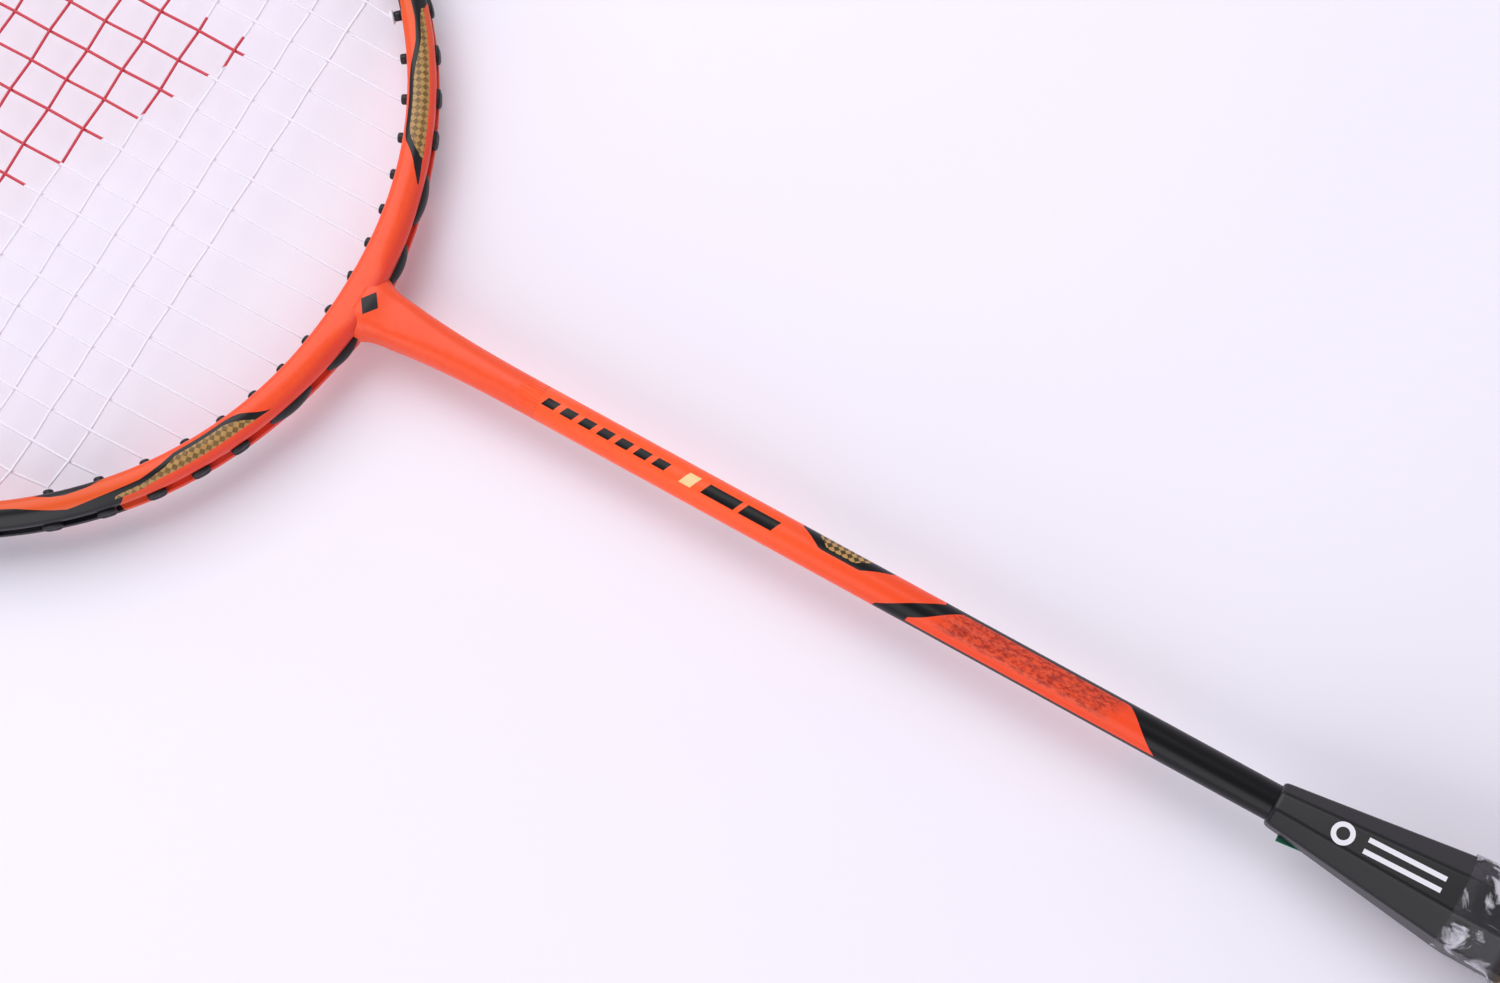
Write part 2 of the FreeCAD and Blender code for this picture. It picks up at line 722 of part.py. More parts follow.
def cross_route():
    """From the lower tie-off on the right, back and forth, to the upper one."""
    count = int(size("cross_count"))
    low_tie = tie_holes()["low"]
    high_tie = tie_holes()["high"]
    first = hole_index("cross", 0, "side")
    last = hole_index("cross", count - 1, "side")
    path = [SIDES[1][low_tie].bend] + outside_loop((1, low_tie), (1, first))[:-1]
    side = 1
    for number in range(count):
        index = hole_index("cross", number, "side")
        here = SIDES[side][index]
        there = SIDES[-side][index]
        path += [here.turn, here.bend, there.bend, there.turn]
        side = -side
        if number < count - 1:
            following = hole_index("cross", number + 1, "side")
            path += outside_loop((side, index), (side, following))[1:-1]
    path += outside_loop((side, last), (side, high_tie))[1:]
    path.append(SIDES[side][high_tie].bend)
    return path


def rounded_path(points, bend):
    """Straight runs joined by tangent arcs, as one wire, with the length it has."""
    edges = []
    start = points[0]
    length = 0.0
    for before, corner, after in zip(points, points[1:], points[2:]):
        into = (corner - before).normalize()
        away = (after - corner).normalize()
        turn = math.acos(max(-1.0, min(1.0, into.dot(away))))
        if turn < STRAIGHT_ENOUGH:
            continue
        short = min((corner - before).Length, (after - corner).Length)
        radius = min(bend, BEND_SHARE * short / math.tan(turn / 2))
        setback = radius * math.tan(turn / 2)
        enter = corner - into * setback
        leave = corner + away * setback
        middle = corner + (away - into).normalize() * (radius / math.cos(turn / 2) - radius)
        edges.append(Part.LineSegment(start, enter).toShape())
        edges.append(Part.Arc(enter, middle, leave).toShape())
        length += (enter - start).Length + radius * turn
        start = leave
    edges.append(Part.LineSegment(start, points[-1]).toShape())
    length += (points[-1] - start).Length
    return Part.Wire(edges), length


def string_solid(kind, points):
    lift = Vector(0, 0, string_height(kind))
    wire, length = rounded_path([point + lift for point in points], size("string_bend"))
    radius = size("string_diameter") / 2
    ahead = (points[1] - points[0]).normalize()
    section = Part.Wire(Part.Circle(points[0] + lift, ahead, radius).toShape())
    solid = wire.makePipeShell([section], True, False)
    share = solid.Volume / (math.pi * radius ** 2 * length)
    print("%s string: %.0f mm, volume over section times length %.4f" % (kind, length, share))
    return solid


def knot(hole):
    """A tie-off: a ring of turns round the strings that leave a grommet's tip."""
    thickness = size("knot_thickness")
    inside = size("string_diameter") + size("string_gap") / 2 + size("knot_gap")
    centre = hole.tip - hole.axis * (thickness / 2 + size("pad_gap"))
    return Part.makeTorus(inside + thickness / 2, thickness / 2, centre, hole.axis)


def build_strings():
    coded_part("main_string", string_solid("main", main_route()))
    coded_part("cross_string", string_solid("cross", cross_route()))
    ties = tie_holes()
    main_knots = [knot(SIDES[side][ties["main"]]) for side in (-1, 1)]
    coded_part("main_string_knots", Part.makeCompound(main_knots))
    last_side = -1 if int(size("cross_count")) % 2 else 1
    cross_knots = [knot(SIDES[1][ties["low"]]), knot(SIDES[last_side][ties["high"]])]
    coded_part("cross_string_knots", Part.makeCompound(cross_knots))


# ---------------------------------------------------------------- shaft

SHAFT_TOP = ("(sizes.overall_length - sizes.pad_proud - 2 * sizes.frame_width"
             " - 2 * sizes.bed_half_length - sizes.throat_extra - sizes.stem_length)")


def build_shaft():
    """The shaft runs from the stem down into the wooden core."""
    low = "sizes.handle_top - sizes.shaft_socket"
    tube_body("shaft_tube", "sizes.shaft_diameter", "sizes.shaft_bore", SHAFT_TOP,
              "%s - (%s)" % (SHAFT_TOP, low))
    tube_body("shaft_glue", "sizes.shaft_diameter + 2 * sizes.glue_thickness",
              "sizes.shaft_diameter", NOSE_END,
              NOSE_END + " - sizes.handle_top + sizes.shaft_socket")
    plug = doc.addObject("Part::Cylinder", "shaft_plug")
    bind(plug, Radius="sizes.shaft_bore / 2", Height="sizes.plug_length")
    plug.Placement = Placement(Vector(0, 0, 0), Rotation(Vector(1, 0, 0), -90))
    plug.setExpression("Placement.Base.y", low)
    keep(plug, "shaft_plug")


# ---------------------------------------------------------------- handle

CORE = ("sizes.core_width", "sizes.core_depth")
CONE_LARGE = ("sizes.cone_base_width", "sizes.cone_base_depth")
CONE_SMALL = "(sizes.shaft_diameter + 2 * (sizes.cone_gap + sizes.cone_lip))"
NOSE_TIP = ("(sizes.shaft_diameter + 2 * sizes.glue_thickness + 2 * sizes.nose_wall)",
            "(sizes.shaft_diameter + 2 * sizes.glue_thickness + 2 * sizes.nose_wall)")
NOSE_BASE = ("(sizes.cone_base_width - 2 * sizes.cone_wall - 2 * sizes.tenon_gap)",
             "(sizes.cone_base_depth - 2 * sizes.cone_wall - 2 * sizes.tenon_gap)")


CONE_BASE = "(sizes.handle_top + sizes.skirt_length)"
CONE_TIP = "(sizes.handle_top + sizes.skirt_length + sizes.cone_length)"
NOSE_END = "(sizes.handle_top + sizes.skirt_length + sizes.tenon_length)"
FLARE_SHARE = ("((sizes.flare_length - sizes.tack_place)"
               " / (sizes.flare_length - sizes.cap_thickness))")
TACK_TOP = ("((sizes.core_depth + sizes.flare_extra * %s) / 2 - sizes.tack_sink)" % FLARE_SHARE)


def grown(sizes_pair, growth_text):
    return tuple("(%s + 2 * (%s))" % (text, growth_text) for text in sizes_pair)


def build_handle_core():
    """Wooden handle: straight octagon, swelling at the butt, nose inside the cone."""
    body = new_body("handle_core")
    flared = grown(CORE, "sizes.flare_extra / 2")
    octagon_loft(body, "PartDesign::AdditiveLoft", [
        ("sizes.handle_top", *CORE),
        ("sizes.flare_length", *CORE),
        ("sizes.cap_thickness", *flared),
    ])
    octagon_loft(body, "PartDesign::AdditiveLoft", [
        (NOSE_END, *NOSE_TIP),
        (CONE_BASE, *NOSE_BASE),
        ("sizes.handle_top", *NOSE_BASE),
    ])
    socket = cross_section_sketch(body, "socket", NOSE_END)
    add_circle(socket, "sizes.shaft_diameter + 2 * sizes.glue_thickness")
    pocket_down(body, socket, NOSE_END + " - sizes.handle_top + sizes.shaft_socket")
    for name, diameter, depth in (("tack_head_hole", "sizes.tack_head", "sizes.tack_head_depth"),
                                  ("tack_hole", "sizes.tack_shank", "sizes.tack_length")):
        sketch = body.newObject("Sketcher::SketchObject", name)
        sketch.AttachmentSupport = (origin_plane(body, "XY_Plane"), "")
        sketch.MapMode = "FlatFace"
        sketch.setExpression("AttachmentOffset.Base.y", "sizes.tack_place")
        sketch.setExpression("AttachmentOffset.Base.z", "-(%s + 2 * sizes.tack_sink)" % TACK_TOP)
        add_circle(sketch, diameter)
        pocket = body.newObject("PartDesign::Pocket", name + "_pocket")
        pocket.Profile = sketch
        pocket.setExpression("Length", depth + " + 2 * sizes.tack_sink")
        pocket.Reversed = True
    return body


def build_tack():
    """The tack that pins the start of the grip tape, let into the core's underside."""
    low = "-(%s)" % TACK_TOP
    head = doc.addObject("Part::Cylinder", "tack_disc")
    bind(head, Radius="sizes.tack_head / 2", Height="sizes.tack_head_depth")
    shank = doc.addObject("Part::Cylinder", "tack_pin")
    bind(shank, Radius="sizes.tack_shank / 2", Height="sizes.tack_length")
    for piece in (head, shank):
        piece.setExpression("Placement.Base.y", "sizes.tack_place")
        piece.setExpression("Placement.Base.z", low)
    tack = doc.addObject("Part::Fuse", "grip_tack")
    tack.Base = head
    tack.Tool = shank
    keep(tack, "grip_tack")


def build_cone():
    """Moulded cone over the core's nose, open round the shaft, with a plain collar."""
    body = new_body("cone_cap")
    octagon_loft(body, "PartDesign::AdditiveLoft", [
        (CONE_TIP, CONE_SMALL, CONE_SMALL),
        (CONE_BASE, *CONE_LARGE),
        ("sizes.handle_top", *CONE_LARGE),
    ])
    octagon_loft(body, "PartDesign::SubtractiveLoft", [
        (NOSE_END + " + sizes.tenon_gap", *grown(NOSE_TIP, "sizes.tenon_gap")),
        (CONE_BASE, *grown(NOSE_BASE, "sizes.tenon_gap")),
        ("sizes.handle_top", *grown(NOSE_BASE, "sizes.tenon_gap")),
    ])
    bore = cross_section_sketch(body, "bore", CONE_TIP)
    add_circle(bore, "sizes.shaft_diameter + 2 * sizes.cone_gap")
    pocket_down(body, bore, "sizes.cone_length - sizes.tenon_length")
    return body


def build_butt():
    """Moulded cap on the butt, with a plain disc let into its flat face."""
    cap = new_body("butt_cap")
    outline = grown(CORE, "sizes.flare_extra / 2 + sizes.wrap_gap + sizes.wrap_thickness")
    narrow = grown(outline, "-sizes.cap_bevel")
    octagon_loft(cap, "PartDesign::AdditiveLoft", [
        ("sizes.cap_thickness", *outline),
        ("sizes.cap_bevel", *outline),
        ("0", *narrow),
    ])
    recess = cross_section_sketch(cap, "recess", "sizes.badge_thickness")
    add_circle(recess, "sizes.badge_diameter + 2 * sizes.badge_gap")
    pocket_down(cap, recess, "sizes.badge_thickness")
    badge = new_body("butt_disc")
    face = cross_section_sketch(badge, "face", "sizes.badge_thickness")
    add_circle(face, "sizes.badge_diameter")
    pad_down(badge, face, "sizes.badge_thickness")


def sleeve(label, stations, inner_text, wall_text):
    """An octagonal sleeve: stations are (y, (width, depth)) of what it goes round."""
    body = new_body(label)
    outer = [(y, *grown(pair, "%s + %s" % (inner_text, wall_text))) for y, pair in stations]
    inner = [(y, *grown(pair, inner_text)) for y, pair in stations]
    octagon_loft(body, "PartDesign::AdditiveLoft", outer)
    octagon_loft(body, "PartDesign::SubtractiveLoft", inner)
    return body


def build_grip():
    """Grip tape on the core, finishing tape round its upper end, clear film outside."""
    flared = grown(CORE, "sizes.flare_extra / 2")
    sleeve("grip_wrap", [
        ("sizes.handle_top", CORE),
        ("sizes.flare_length", CORE),
        ("sizes.cap_thickness", flared),
    ], "sizes.wrap_gap", "sizes.wrap_thickness")
    on_grip = "sizes.wrap_gap + sizes.wrap_thickness"
    tape_top = "sizes.handle_top - sizes.tape_setback"
    sleeve("finishing_tape", [
        (tape_top, CORE),
        (tape_top + " - sizes.tape_width", CORE),
    ], on_grip + " + sizes.wrap_gap", "sizes.tape_thickness")
    on_tape = on_grip + " + sizes.wrap_gap + sizes.tape_thickness"
    taped = grown(CORE, on_tape)
    rise = "(sizes.film_top - %s) / sizes.cone_length" % CONE_BASE
    on_cone = tuple("(%s - (%s - %s) * %s)" % (text, text, CONE_SMALL, rise)
                    for text in CONE_LARGE)
    sleeve("grip_film", [
        ("sizes.film_top", on_cone),
        ("sizes.handle_top + sizes.film_step", CONE_LARGE),
        ("sizes.handle_top", taped),
        ("sizes.flare_length", taped),
        ("sizes.film_bottom", grown(flared, on_tape)),
    ], "sizes.film_gap", "sizes.film_thickness")


def facet_distance(width, depth):
    """From the axis to the cut corner of an octagon."""
    return ((width + depth) / 2 - width * size("corner_share")) / math.sqrt(2)


def build_label():
    """Small plain label on the cone's lower left facet."""
    small = size("shaft_diameter") + 2 * (size("cone_gap") + size("cone_lip"))
    tip = facet_distance(small, small)
    base = facet_distance(size("cone_base_width"), size("cone_base_depth"))
    slope = (base - tip) / size("cone_length")
    lean = math.atan(slope)
    distance = (tip + slope * size("label_place")) * math.cos(lean) + size("label_gap")
    middle = size("handle_top") + size("skirt_length") + size("cone_length")
    middle -= size("label_place")
    width = size("label_width")
    length = size("label_length")
    label = Part.makeBox(width, length, size("label_thickness"),
                         Vector(-width / 2, -length / 2, distance))
    tilt = Placement(Vector(0, 0, 0), Rotation(Vector(1, 0, 0), math.degrees(lean)))
    turn = Rotation(Vector(0, 1, 0), -size("label_turn"))
    coded_part("cone_label", label, Placement(Vector(0, middle, 0), turn).multiply(tilt))


build_frame()
build_grommets()
build_strings()
build_shaft()
build_handle_core()
build_tack()
build_cone()
build_butt()
build_grip()
build_label()
doc.recompute()


def check_and_export():
    """Stop if any object failed, then write one STEP file for each sub-part."""
    for obj in doc.Objects:
        if "Invalid" in obj.State or "Error" in obj.State:
            raise RuntimeError("%s did not build" % obj.Label)
    for obj in NODES:
        if obj.Shape.isNull() or not obj.Shape.isValid():
            raise RuntimeError("%s has no valid shape" % obj.Label)
    for obj in NODES:
        obj.Shape.exportStep("parts/%s.step" % obj.Label)
        box = obj.Shape.BoundBox
        print("%-28s %3d solids %10.1f mm3  x %.1f %.1f y %.1f %.1f z %.1f %.1f" % (
            obj.Label, len(obj.Shape.Solids), obj.Shape.Volume,
            box.XMin, box.XMax, box.YMin, box.YMax, box.ZMin, box.ZMax))


check_and_export()
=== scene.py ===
import math

import bpy
from mathutils import Matrix, Vector, noise


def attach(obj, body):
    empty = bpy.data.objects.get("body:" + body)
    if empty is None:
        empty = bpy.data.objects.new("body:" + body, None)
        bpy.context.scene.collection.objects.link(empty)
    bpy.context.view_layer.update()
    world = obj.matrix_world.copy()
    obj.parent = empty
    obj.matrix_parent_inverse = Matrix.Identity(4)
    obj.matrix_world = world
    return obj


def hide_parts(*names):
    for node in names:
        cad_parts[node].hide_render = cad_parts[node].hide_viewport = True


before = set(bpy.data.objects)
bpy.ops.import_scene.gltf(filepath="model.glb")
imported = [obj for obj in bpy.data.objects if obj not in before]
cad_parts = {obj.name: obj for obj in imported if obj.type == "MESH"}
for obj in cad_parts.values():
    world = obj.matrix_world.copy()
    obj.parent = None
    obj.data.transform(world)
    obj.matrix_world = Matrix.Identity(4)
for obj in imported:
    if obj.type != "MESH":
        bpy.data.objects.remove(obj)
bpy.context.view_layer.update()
scene = bpy.context.scene

# ------------------------------------------------------------------ camera
# A product camera about half a metre above the racket, over the left of the
# shaft: it takes in the throat, the shaft and the tip of the handle cone.
CAMERA_PLACE = (-.111183, .240703, .563262)
CAMERA_RIGHT = (.497912, -.865982, -.046466)
CAMERA_UP = (.844245, .471768, .254335)
CAMERA_BACK = (-.198328, -.165866, .965999)
camera = bpy.data.objects.new("camera", bpy.data.cameras.new("camera"))
camera.data.lens = 70.63
camera.data.sensor_width = 36
camera.data.clip_start = .01
axes = Matrix((CAMERA_RIGHT, CAMERA_UP, CAMERA_BACK)).transposed()
camera.matrix_world = Matrix.Translation(CAMERA_PLACE) @ axes.to_4x4()
scene.collection.objects.link(camera)
scene.camera = camera


# ------------------------------------------------------------------- floor
# A matt, very pale lilac table top.  It leans by under a degree, so that the
# top of the head and the flare of the handle both rest on it.
def linear(code):
    """A hex colour, such as f46a3c, as the linear colour that shaders take."""
    parts = [int(code[i:i + 2], 16) / 255 for i in (0, 2, 4)]
    return [p / 12.92 if p <= .04045 else ((p + .055) / 1.055) ** 2.4 for p in parts] + [1]


def connect(material, node, links):
    """Sets a node's inputs, each to a value, a socket or another node's shown output."""
    for key, value in links.items():
        if isinstance(value, bpy.types.Node):
            value = next(output for output in value.outputs if output.enabled)
        if isinstance(value, bpy.types.NodeSocket):
            material.node_tree.links.new(value, node.inputs[key])
        else:
            node.inputs[key].default_value = value


def add(material, kind, links=None, **settings):
    """Adds one shader node with its settings and links."""
    made = material.node_tree.nodes.new("ShaderNode" + kind)
    for name, value in settings.items():
        setattr(made, name, value)
    connect(material, made, links or {})
    return made


def new_material(name):
    """A material with only its surface shader."""
    made = bpy.data.materials.new(name)
    made.use_nodes = True
    return made


def surface(material, links):
    """Sets the inputs of a material's surface shader."""
    connect(material, material.node_tree.nodes["Principled BSDF"], links)


def mottled(name, kind, texture, tones, finish, relief=None, own_place=False, **settings):
    """A material of two close tones in one fine texture, which may stand in relief."""
    made = new_material(name)
    if own_place:
        texture = {0: add(made, "TexCoord").outputs["Object"], **texture}
    pattern = add(made, kind, texture, **settings)
    tone = add(made, "Mix", {0: pattern, 6: linear(tones[0]), 7: linear(tones[1])},
               data_type="RGBA")
    links = {"Base Color": tone, **finish}
    if relief:
        strength, distance = relief
        links["Normal"] = add(made, "Bump", {"Strength": strength, "Distance": distance,
                                             "Height": pattern})
    surface(made, links)
    return made


FLOOR_HALF = 3.0
FLOOR_BUTT = (.006, -.0159)
FLOOR_HEAD = (.665, -.0053)
slope = (FLOOR_HEAD[1] - FLOOR_BUTT[1]) / (FLOOR_HEAD[0] - FLOOR_BUTT[0])
low = FLOOR_BUTT[1] - slope * (FLOOR_HALF + FLOOR_BUTT[0])
high = FLOOR_BUTT[1] + slope * (FLOOR_HALF - FLOOR_BUTT[0])
floor_mesh = bpy.data.meshes.new("floor")
floor_mesh.from_pydata([(-FLOOR_HALF, -FLOOR_HALF, low), (FLOOR_HALF, -FLOOR_HALF, low),
                        (FLOOR_HALF, FLOOR_HALF, high), (-FLOOR_HALF, FLOOR_HALF, high)],
                       [], [(0, 1, 2, 3)])
floor = bpy.data.objects.new("floor", floor_mesh)
scene.collection.objects.link(floor)

# Laminate with a dead matt finish: even, with hardly any gloss.
laminate = mottled("matt_laminate", "TexNoise", {"Scale": 40, "Detail": 2}, ("f0ebf7", "f3eef9"),
                   {"Roughness": .9, "Specular IOR Level": .2})
floor_mesh.materials.append(laminate)

# ------------------------------------------------------------------- light
# Plain soft studio light: a broad panel high on the head's side, a weaker one
# across from it, and an even pale surround.
scene.view_settings.view_transform = "Standard"
world = bpy.data.worlds.new("studio")
world.use_nodes = True
ray = add(world, "TexCoord").outputs["Generated"]
height = add(world, "SeparateXYZ", {0: ray})
dim = add(world, "MapRange", {0: height.outputs[2], 1: .25, 2: .95, 3: .78, 4: .30})
connect(world, world.node_tree.nodes["Background"], {0: linear("f4f3fa"), 1: dim})
scene.world = world
AIM = Vector((0, .36, 0))
for name, place, breadth, power in (("key_panel", (.5, 1.1, 1.25), 1.3, 17),
                                    ("fill_panel", (-1.25, .1, .75), 1.2, 9)):
    panel = bpy.data.objects.new(name, bpy.data.lights.new(name, "AREA"))
    panel.data.size = breadth
    panel.data.energy = power
    panel.location = place
    panel.rotation_euler = (AIM - Vector(place)).to_track_quat("-Z", "Y").to_euler()
    scene.collection.objects.link(panel)

# -------------------------------------------------------------- head frame
# The hoop and its short stem are one moulding of woven carbon over a foam
# core.  Its outer face has a groove for the string loops, and its edges are
# bevelled.  Sizes here are in millimetres, from the middle of the butt end.
MM = .001
HEAD_Y = 549.1
BED_HALF_WIDTH = 94.0
BED_HALF_LENGTH = 119.3
OUTLINE_POWER = 2.15
FRAME_WIDTH = 5.8
THROAT_EXTRA = 1.2
THROAT_SPREAD = 22.0
FRAME_TOP = 5.2
EDGE_TOP = 4.1
EDGE_BEVEL = 1.1
GROOVE_DEPTH = 1.7
GROOVE_HALF = 1.65
STEM_TOP_Y = 422.8
STEM_END_Y = 382.8
HOOP_STATIONS = 760
STEM_WIDTH = 10.0
STEM_BLEND = 13.0


def outline_x(height):
    """Half width of the string bed at a height above the head's centre."""
    share = min(1.0, abs(height) / BED_HALF_LENGTH)
    return BED_HALF_WIDTH * (1 - share ** OUTLINE_POWER) ** (1 / OUTLINE_POWER)


def outline_y(x):
    """Half length of the string bed at a distance from its middle line."""
    share = min(1.0, abs(x) / BED_HALF_WIDTH)
    return BED_HALF_LENGTH * (1 - share ** OUTLINE_POWER) ** (1 / OUTLINE_POWER)


def outward(x, y):
    """Unit vector square to the outline, away from the string bed."""
    across = math.copysign(abs(x) ** (OUTLINE_POWER - 1) / BED_HALF_WIDTH ** OUTLINE_POWER, x)
    along = math.copysign(abs(y) ** (OUTLINE_POWER - 1) / BED_HALF_LENGTH ** OUTLINE_POWER, y)
    return Vector((across, along, 0)).normalized()


def width_at(x, y):
    """Width of the frame, which swells at the throat."""
    extra = THROAT_EXTRA * math.exp(-(x / THROAT_SPREAD) ** 2) if y < 0 else 0
    return FRAME_WIDTH + extra


def outline_point(turn):
    """Point of the inner outline at an angle from the throat."""
    power = 2 / OUTLINE_POWER
    x = math.copysign(BED_HALF_WIDTH * abs(math.sin(turn)) ** power, math.sin(turn))
    y = -math.copysign(BED_HALF_LENGTH * abs(math.cos(turn)) ** power, math.cos(turn))
    return Vector((x, y, 0))


def bend(before, corner, after, radius, most, steps=4):
    """A rounded corner's points, which take at most a share of the side before and after."""
    back, ahead = before - corner, after - corner
    reach = min(radius, most * back.length, most * ahead.length)
    start, stop = corner + back.normalized() * reach, corner + ahead.normalized() * reach
    shares = [step / steps for step in range(steps + 1)]
    return [start * (1 - t) ** 2 + corner * 2 * t * (1 - t) + stop * t ** 2 for t in shares]


def softened(corners):
    """An open line of (place, height, radius) corners, with each corner rounded."""
    places = [Vector(corner[:2]) for corner in corners]
    line = places[:1]
    for before, here, after, corner in zip(places, places[1:], places[2:], corners[1:]):
        line += bend(before, here, after, corner[2], .45)
    return line + places[-1:]


def hoop_section(width, x, y):
    """Closed section of the frame: (distance outward, height, paint distance) from inside."""
    near = max(0.0, min(1.0, (STEM_BLEND - abs(x)) / (STEM_BLEND - STEM_WIDTH / 2)))
    shoulder = 3.2 + (1.7 * near * near * (3 - 2 * near) if y < 0 else 0)
    upper = softened([(0, 0, 0), (0, EDGE_TOP, 1.0), (EDGE_BEVEL, FRAME_TOP, 1.0),
                      (width - 2 * EDGE_BEVEL, FRAME_TOP, 1.6), (width, shoulder, 1.3),
                      (width, GROOVE_HALF, .2), (width - GROOVE_DEPTH, GROOVE_HALF - .02, .2),
                      (width - GROOVE_DEPTH, 0, 0)])
    paint = [0.0]
    for before, after in zip(upper, upper[1:]):
        paint.append(paint[-1] + (after - before).length)
    shift = min(zip(upper, paint), key=lambda item: abs(item[0].y - EDGE_TOP) + item[0].x)[1]
    half = [(p.x, p.y, w - shift) for p, w in zip(upper, paint)]
    return half + [(d, -z, w) for d, z, w in reversed(half[1:-1])]


def hoop_stations(count):
    """Evenly spaced points of the inner outline: point, outward vector, distance, side."""
    fine = [outline_point(2 * math.pi * i / 6000) for i in range(6001)]
    run = [0.0]
    for before, after in zip(fine, fine[1:]):
        run.append(run[-1] + (after - before).length)
    stations = []
    place = 0
    for i in range(count):
        goal = run[-1] * i / count
        while run[place + 1] < goal:
            place += 1
        share = (goal - run[place]) / (run[place + 1] - run[place])
        point = fine[place].lerp(fine[place + 1], share)
        side = 1.0 if goal <= run[-1] / 2 else 0.0
        stations.append((point, outward(point.x, point.y), min(goal, run[-1] - goal), side))
    return stations


def make_piece(name, vertices, faces, finish, slot, marks=None):
    """A smooth mesh piece, from millimetres, with its marks stored on its points."""
    mesh = bpy.data.meshes.new(name)
    mesh.from_pydata([Vector(v) * MM for v in vertices], [], faces)
    mesh.polygons.foreach_set("use_smooth", [True] * len(faces))
    for mark, values in (marks or {}).items():
        mesh.attributes.new(mark, "FLOAT", "POINT").data.foreach_set("value", values)
    mesh.materials.append(finish)
    mesh.validate()
    made = bpy.data.objects.new(name, mesh)
    scene.collection.objects.link(made)
    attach(made, "root")
    return made


def ring_faces(rows, columns, closed_rows=True):
    """Quads between rows of points, each row a closed loop of columns points."""
    faces = []
    for row in range(rows if closed_rows else rows - 1):
        ahead = (row + 1) % rows
        for column in range(columns):
            after = (column + 1) % columns
            faces.append((row * columns + column, row * columns + after,
                          ahead * columns + after, ahead * columns + column))
    return faces


def rod_faces(rows, columns):
    """Quads between rows of points, and one face over each end."""
    ends = [tuple(reversed(range(columns))), tuple(range((rows - 1) * columns, rows * columns))]
    return ring_faces(rows, columns, False) + ends


def extend(points, faces, more_points, more_faces):
    """Joins one more closed shell to a mesh."""
    shift = len(points)
    points += more_points
    faces += [tuple(i + shift for i in face) for face in more_faces]


def rounded_outline(width, height, radius, steps=8):
    """A rounded rectangle round the shaft's axis, as (x, z) points."""
    points = []
    for quarter in range(4):
        centre = (math.copysign(width / 2 - radius, math.cos(math.radians(45 + 90 * quarter))),
                  math.copysign(height / 2 - radius, math.sin(math.radians(45 + 90 * quarter))))
        for step in range(steps + 1):
            angle = math.radians(90 * quarter + 90 * step / steps)
            points.append((centre[0] + radius * math.cos(angle),
                           centre[1] + radius * math.sin(angle)))
    return points


vertices, along, across, right = [], [], [], []
stations = hoop_stations(HOOP_STATIONS)
columns = len(hoop_section(FRAME_WIDTH, 90, 0))
for point, away, distance, side in stations:
    for d, z, paint in hoop_section(width_at(point.x, point.y), point.x, point.y):
        spot = point + away * d
        vertices.append((spot.x, spot.y + HEAD_Y, z))
        along.append(distance)
        across.append(paint)
        right.append(side)
faces = ring_faces(len(stations), columns)

# The stem leaves the hoop in a wide fillet and runs down to the round shaft.
STEM_HEIGHT = 8.8
STEM_CORNER = 2.6
SHAFT_DIAMETER = 7.4
STEM_NECK = 6.5


def stem_size(reach):
    """The stem's width, height and corner radius at a distance below the hoop."""
    share = max(0.0, (reach - STEM_NECK) / (STEM_TOP_Y - STEM_END_Y - STEM_NECK))
    fade = max(0.0, 1 - share) ** 2.6
    wide = SHAFT_DIAMETER + (STEM_WIDTH - SHAFT_DIAMETER) * fade
    tall = SHAFT_DIAMETER + (STEM_HEIGHT - SHAFT_DIAMETER) * fade
    return wide, tall, min(wide, tall) / 2 * .995 * (1 - fade) + STEM_CORNER * fade


stem = []
for reach, extra, swell, corner in ((-2.6, 4.4, 1.56, 4.7), (-1.6, 4.3, 1.54, 4.6),
                                    (-.6, 4.1, 1.5, 4.5), (0, 3.7, 1.42, 4.3),
                                    (.5, 3.1, 1.3, 4.0), (1.1, 2.4, 1.1, 3.7),
                                    (1.8, 1.7, .85, 3.4), (2.7, 1.05, .58, 3.1),
                                    (3.8, .55, .32, 2.85), (5.1, .2, .12, 2.7)):
    stem.append((reach, STEM_WIDTH + extra, STEM_HEIGHT + swell, corner))
stem += [(STEM_NECK + 1.4 * step, *stem_size(STEM_NECK + 1.4 * step)) for step in range(24)]
stem.append((STEM_TOP_Y - STEM_END_Y, *stem_size(STEM_TOP_Y - STEM_END_Y)))
stem_points = [(x, STEM_TOP_Y - reach, z) for reach, wide, tall, corner in stem
               for x, z in rounded_outline(wide, tall, corner)]
extend(vertices, faces, stem_points, rod_faces(len(stem), len(stem_points) // len(stem)))
along += [0] * len(stem_points)
across += [3] * len(stem_points)
right += [1] * len(stem_points)

# Orange lacquer under clear coat: glossy, deep and even, with black lining and
# panels where a coarse gold weave shows through.
lacquer = new_material("orange_lacquer_clear_coated")
marks = {name: add(lacquer, "Attribute", attribute_name=name).outputs["Fac"]
         for name in ("along", "across", "right_side")}
HALF_RUN = 345.0
PAINT_REACH = (-4.0, 12.0)


def painted_edge(material, share, points, run, reach):
    """How far across a painted edge lies; run and reach are the ends of its two measures."""
    run_span, span = run[1] - run[0], reach[1] - reach[0]
    curve = add(material, "FloatCurve", {1: share})
    line = curve.mapping.curves[0]
    for _ in points[2:]:
        line.points.new(.5, .5)
    for spot, (distance, place) in zip(line.points, sorted(points)):
        spot.location = ((distance - run[0]) / run_span, (place - reach[0]) / span)
        spot.handle_type = "VECTOR"
    curve.mapping.update()
    return add(material, "Math", {0: curve, 1: span, 2: reach[0]}, operation="MULTIPLY_ADD")


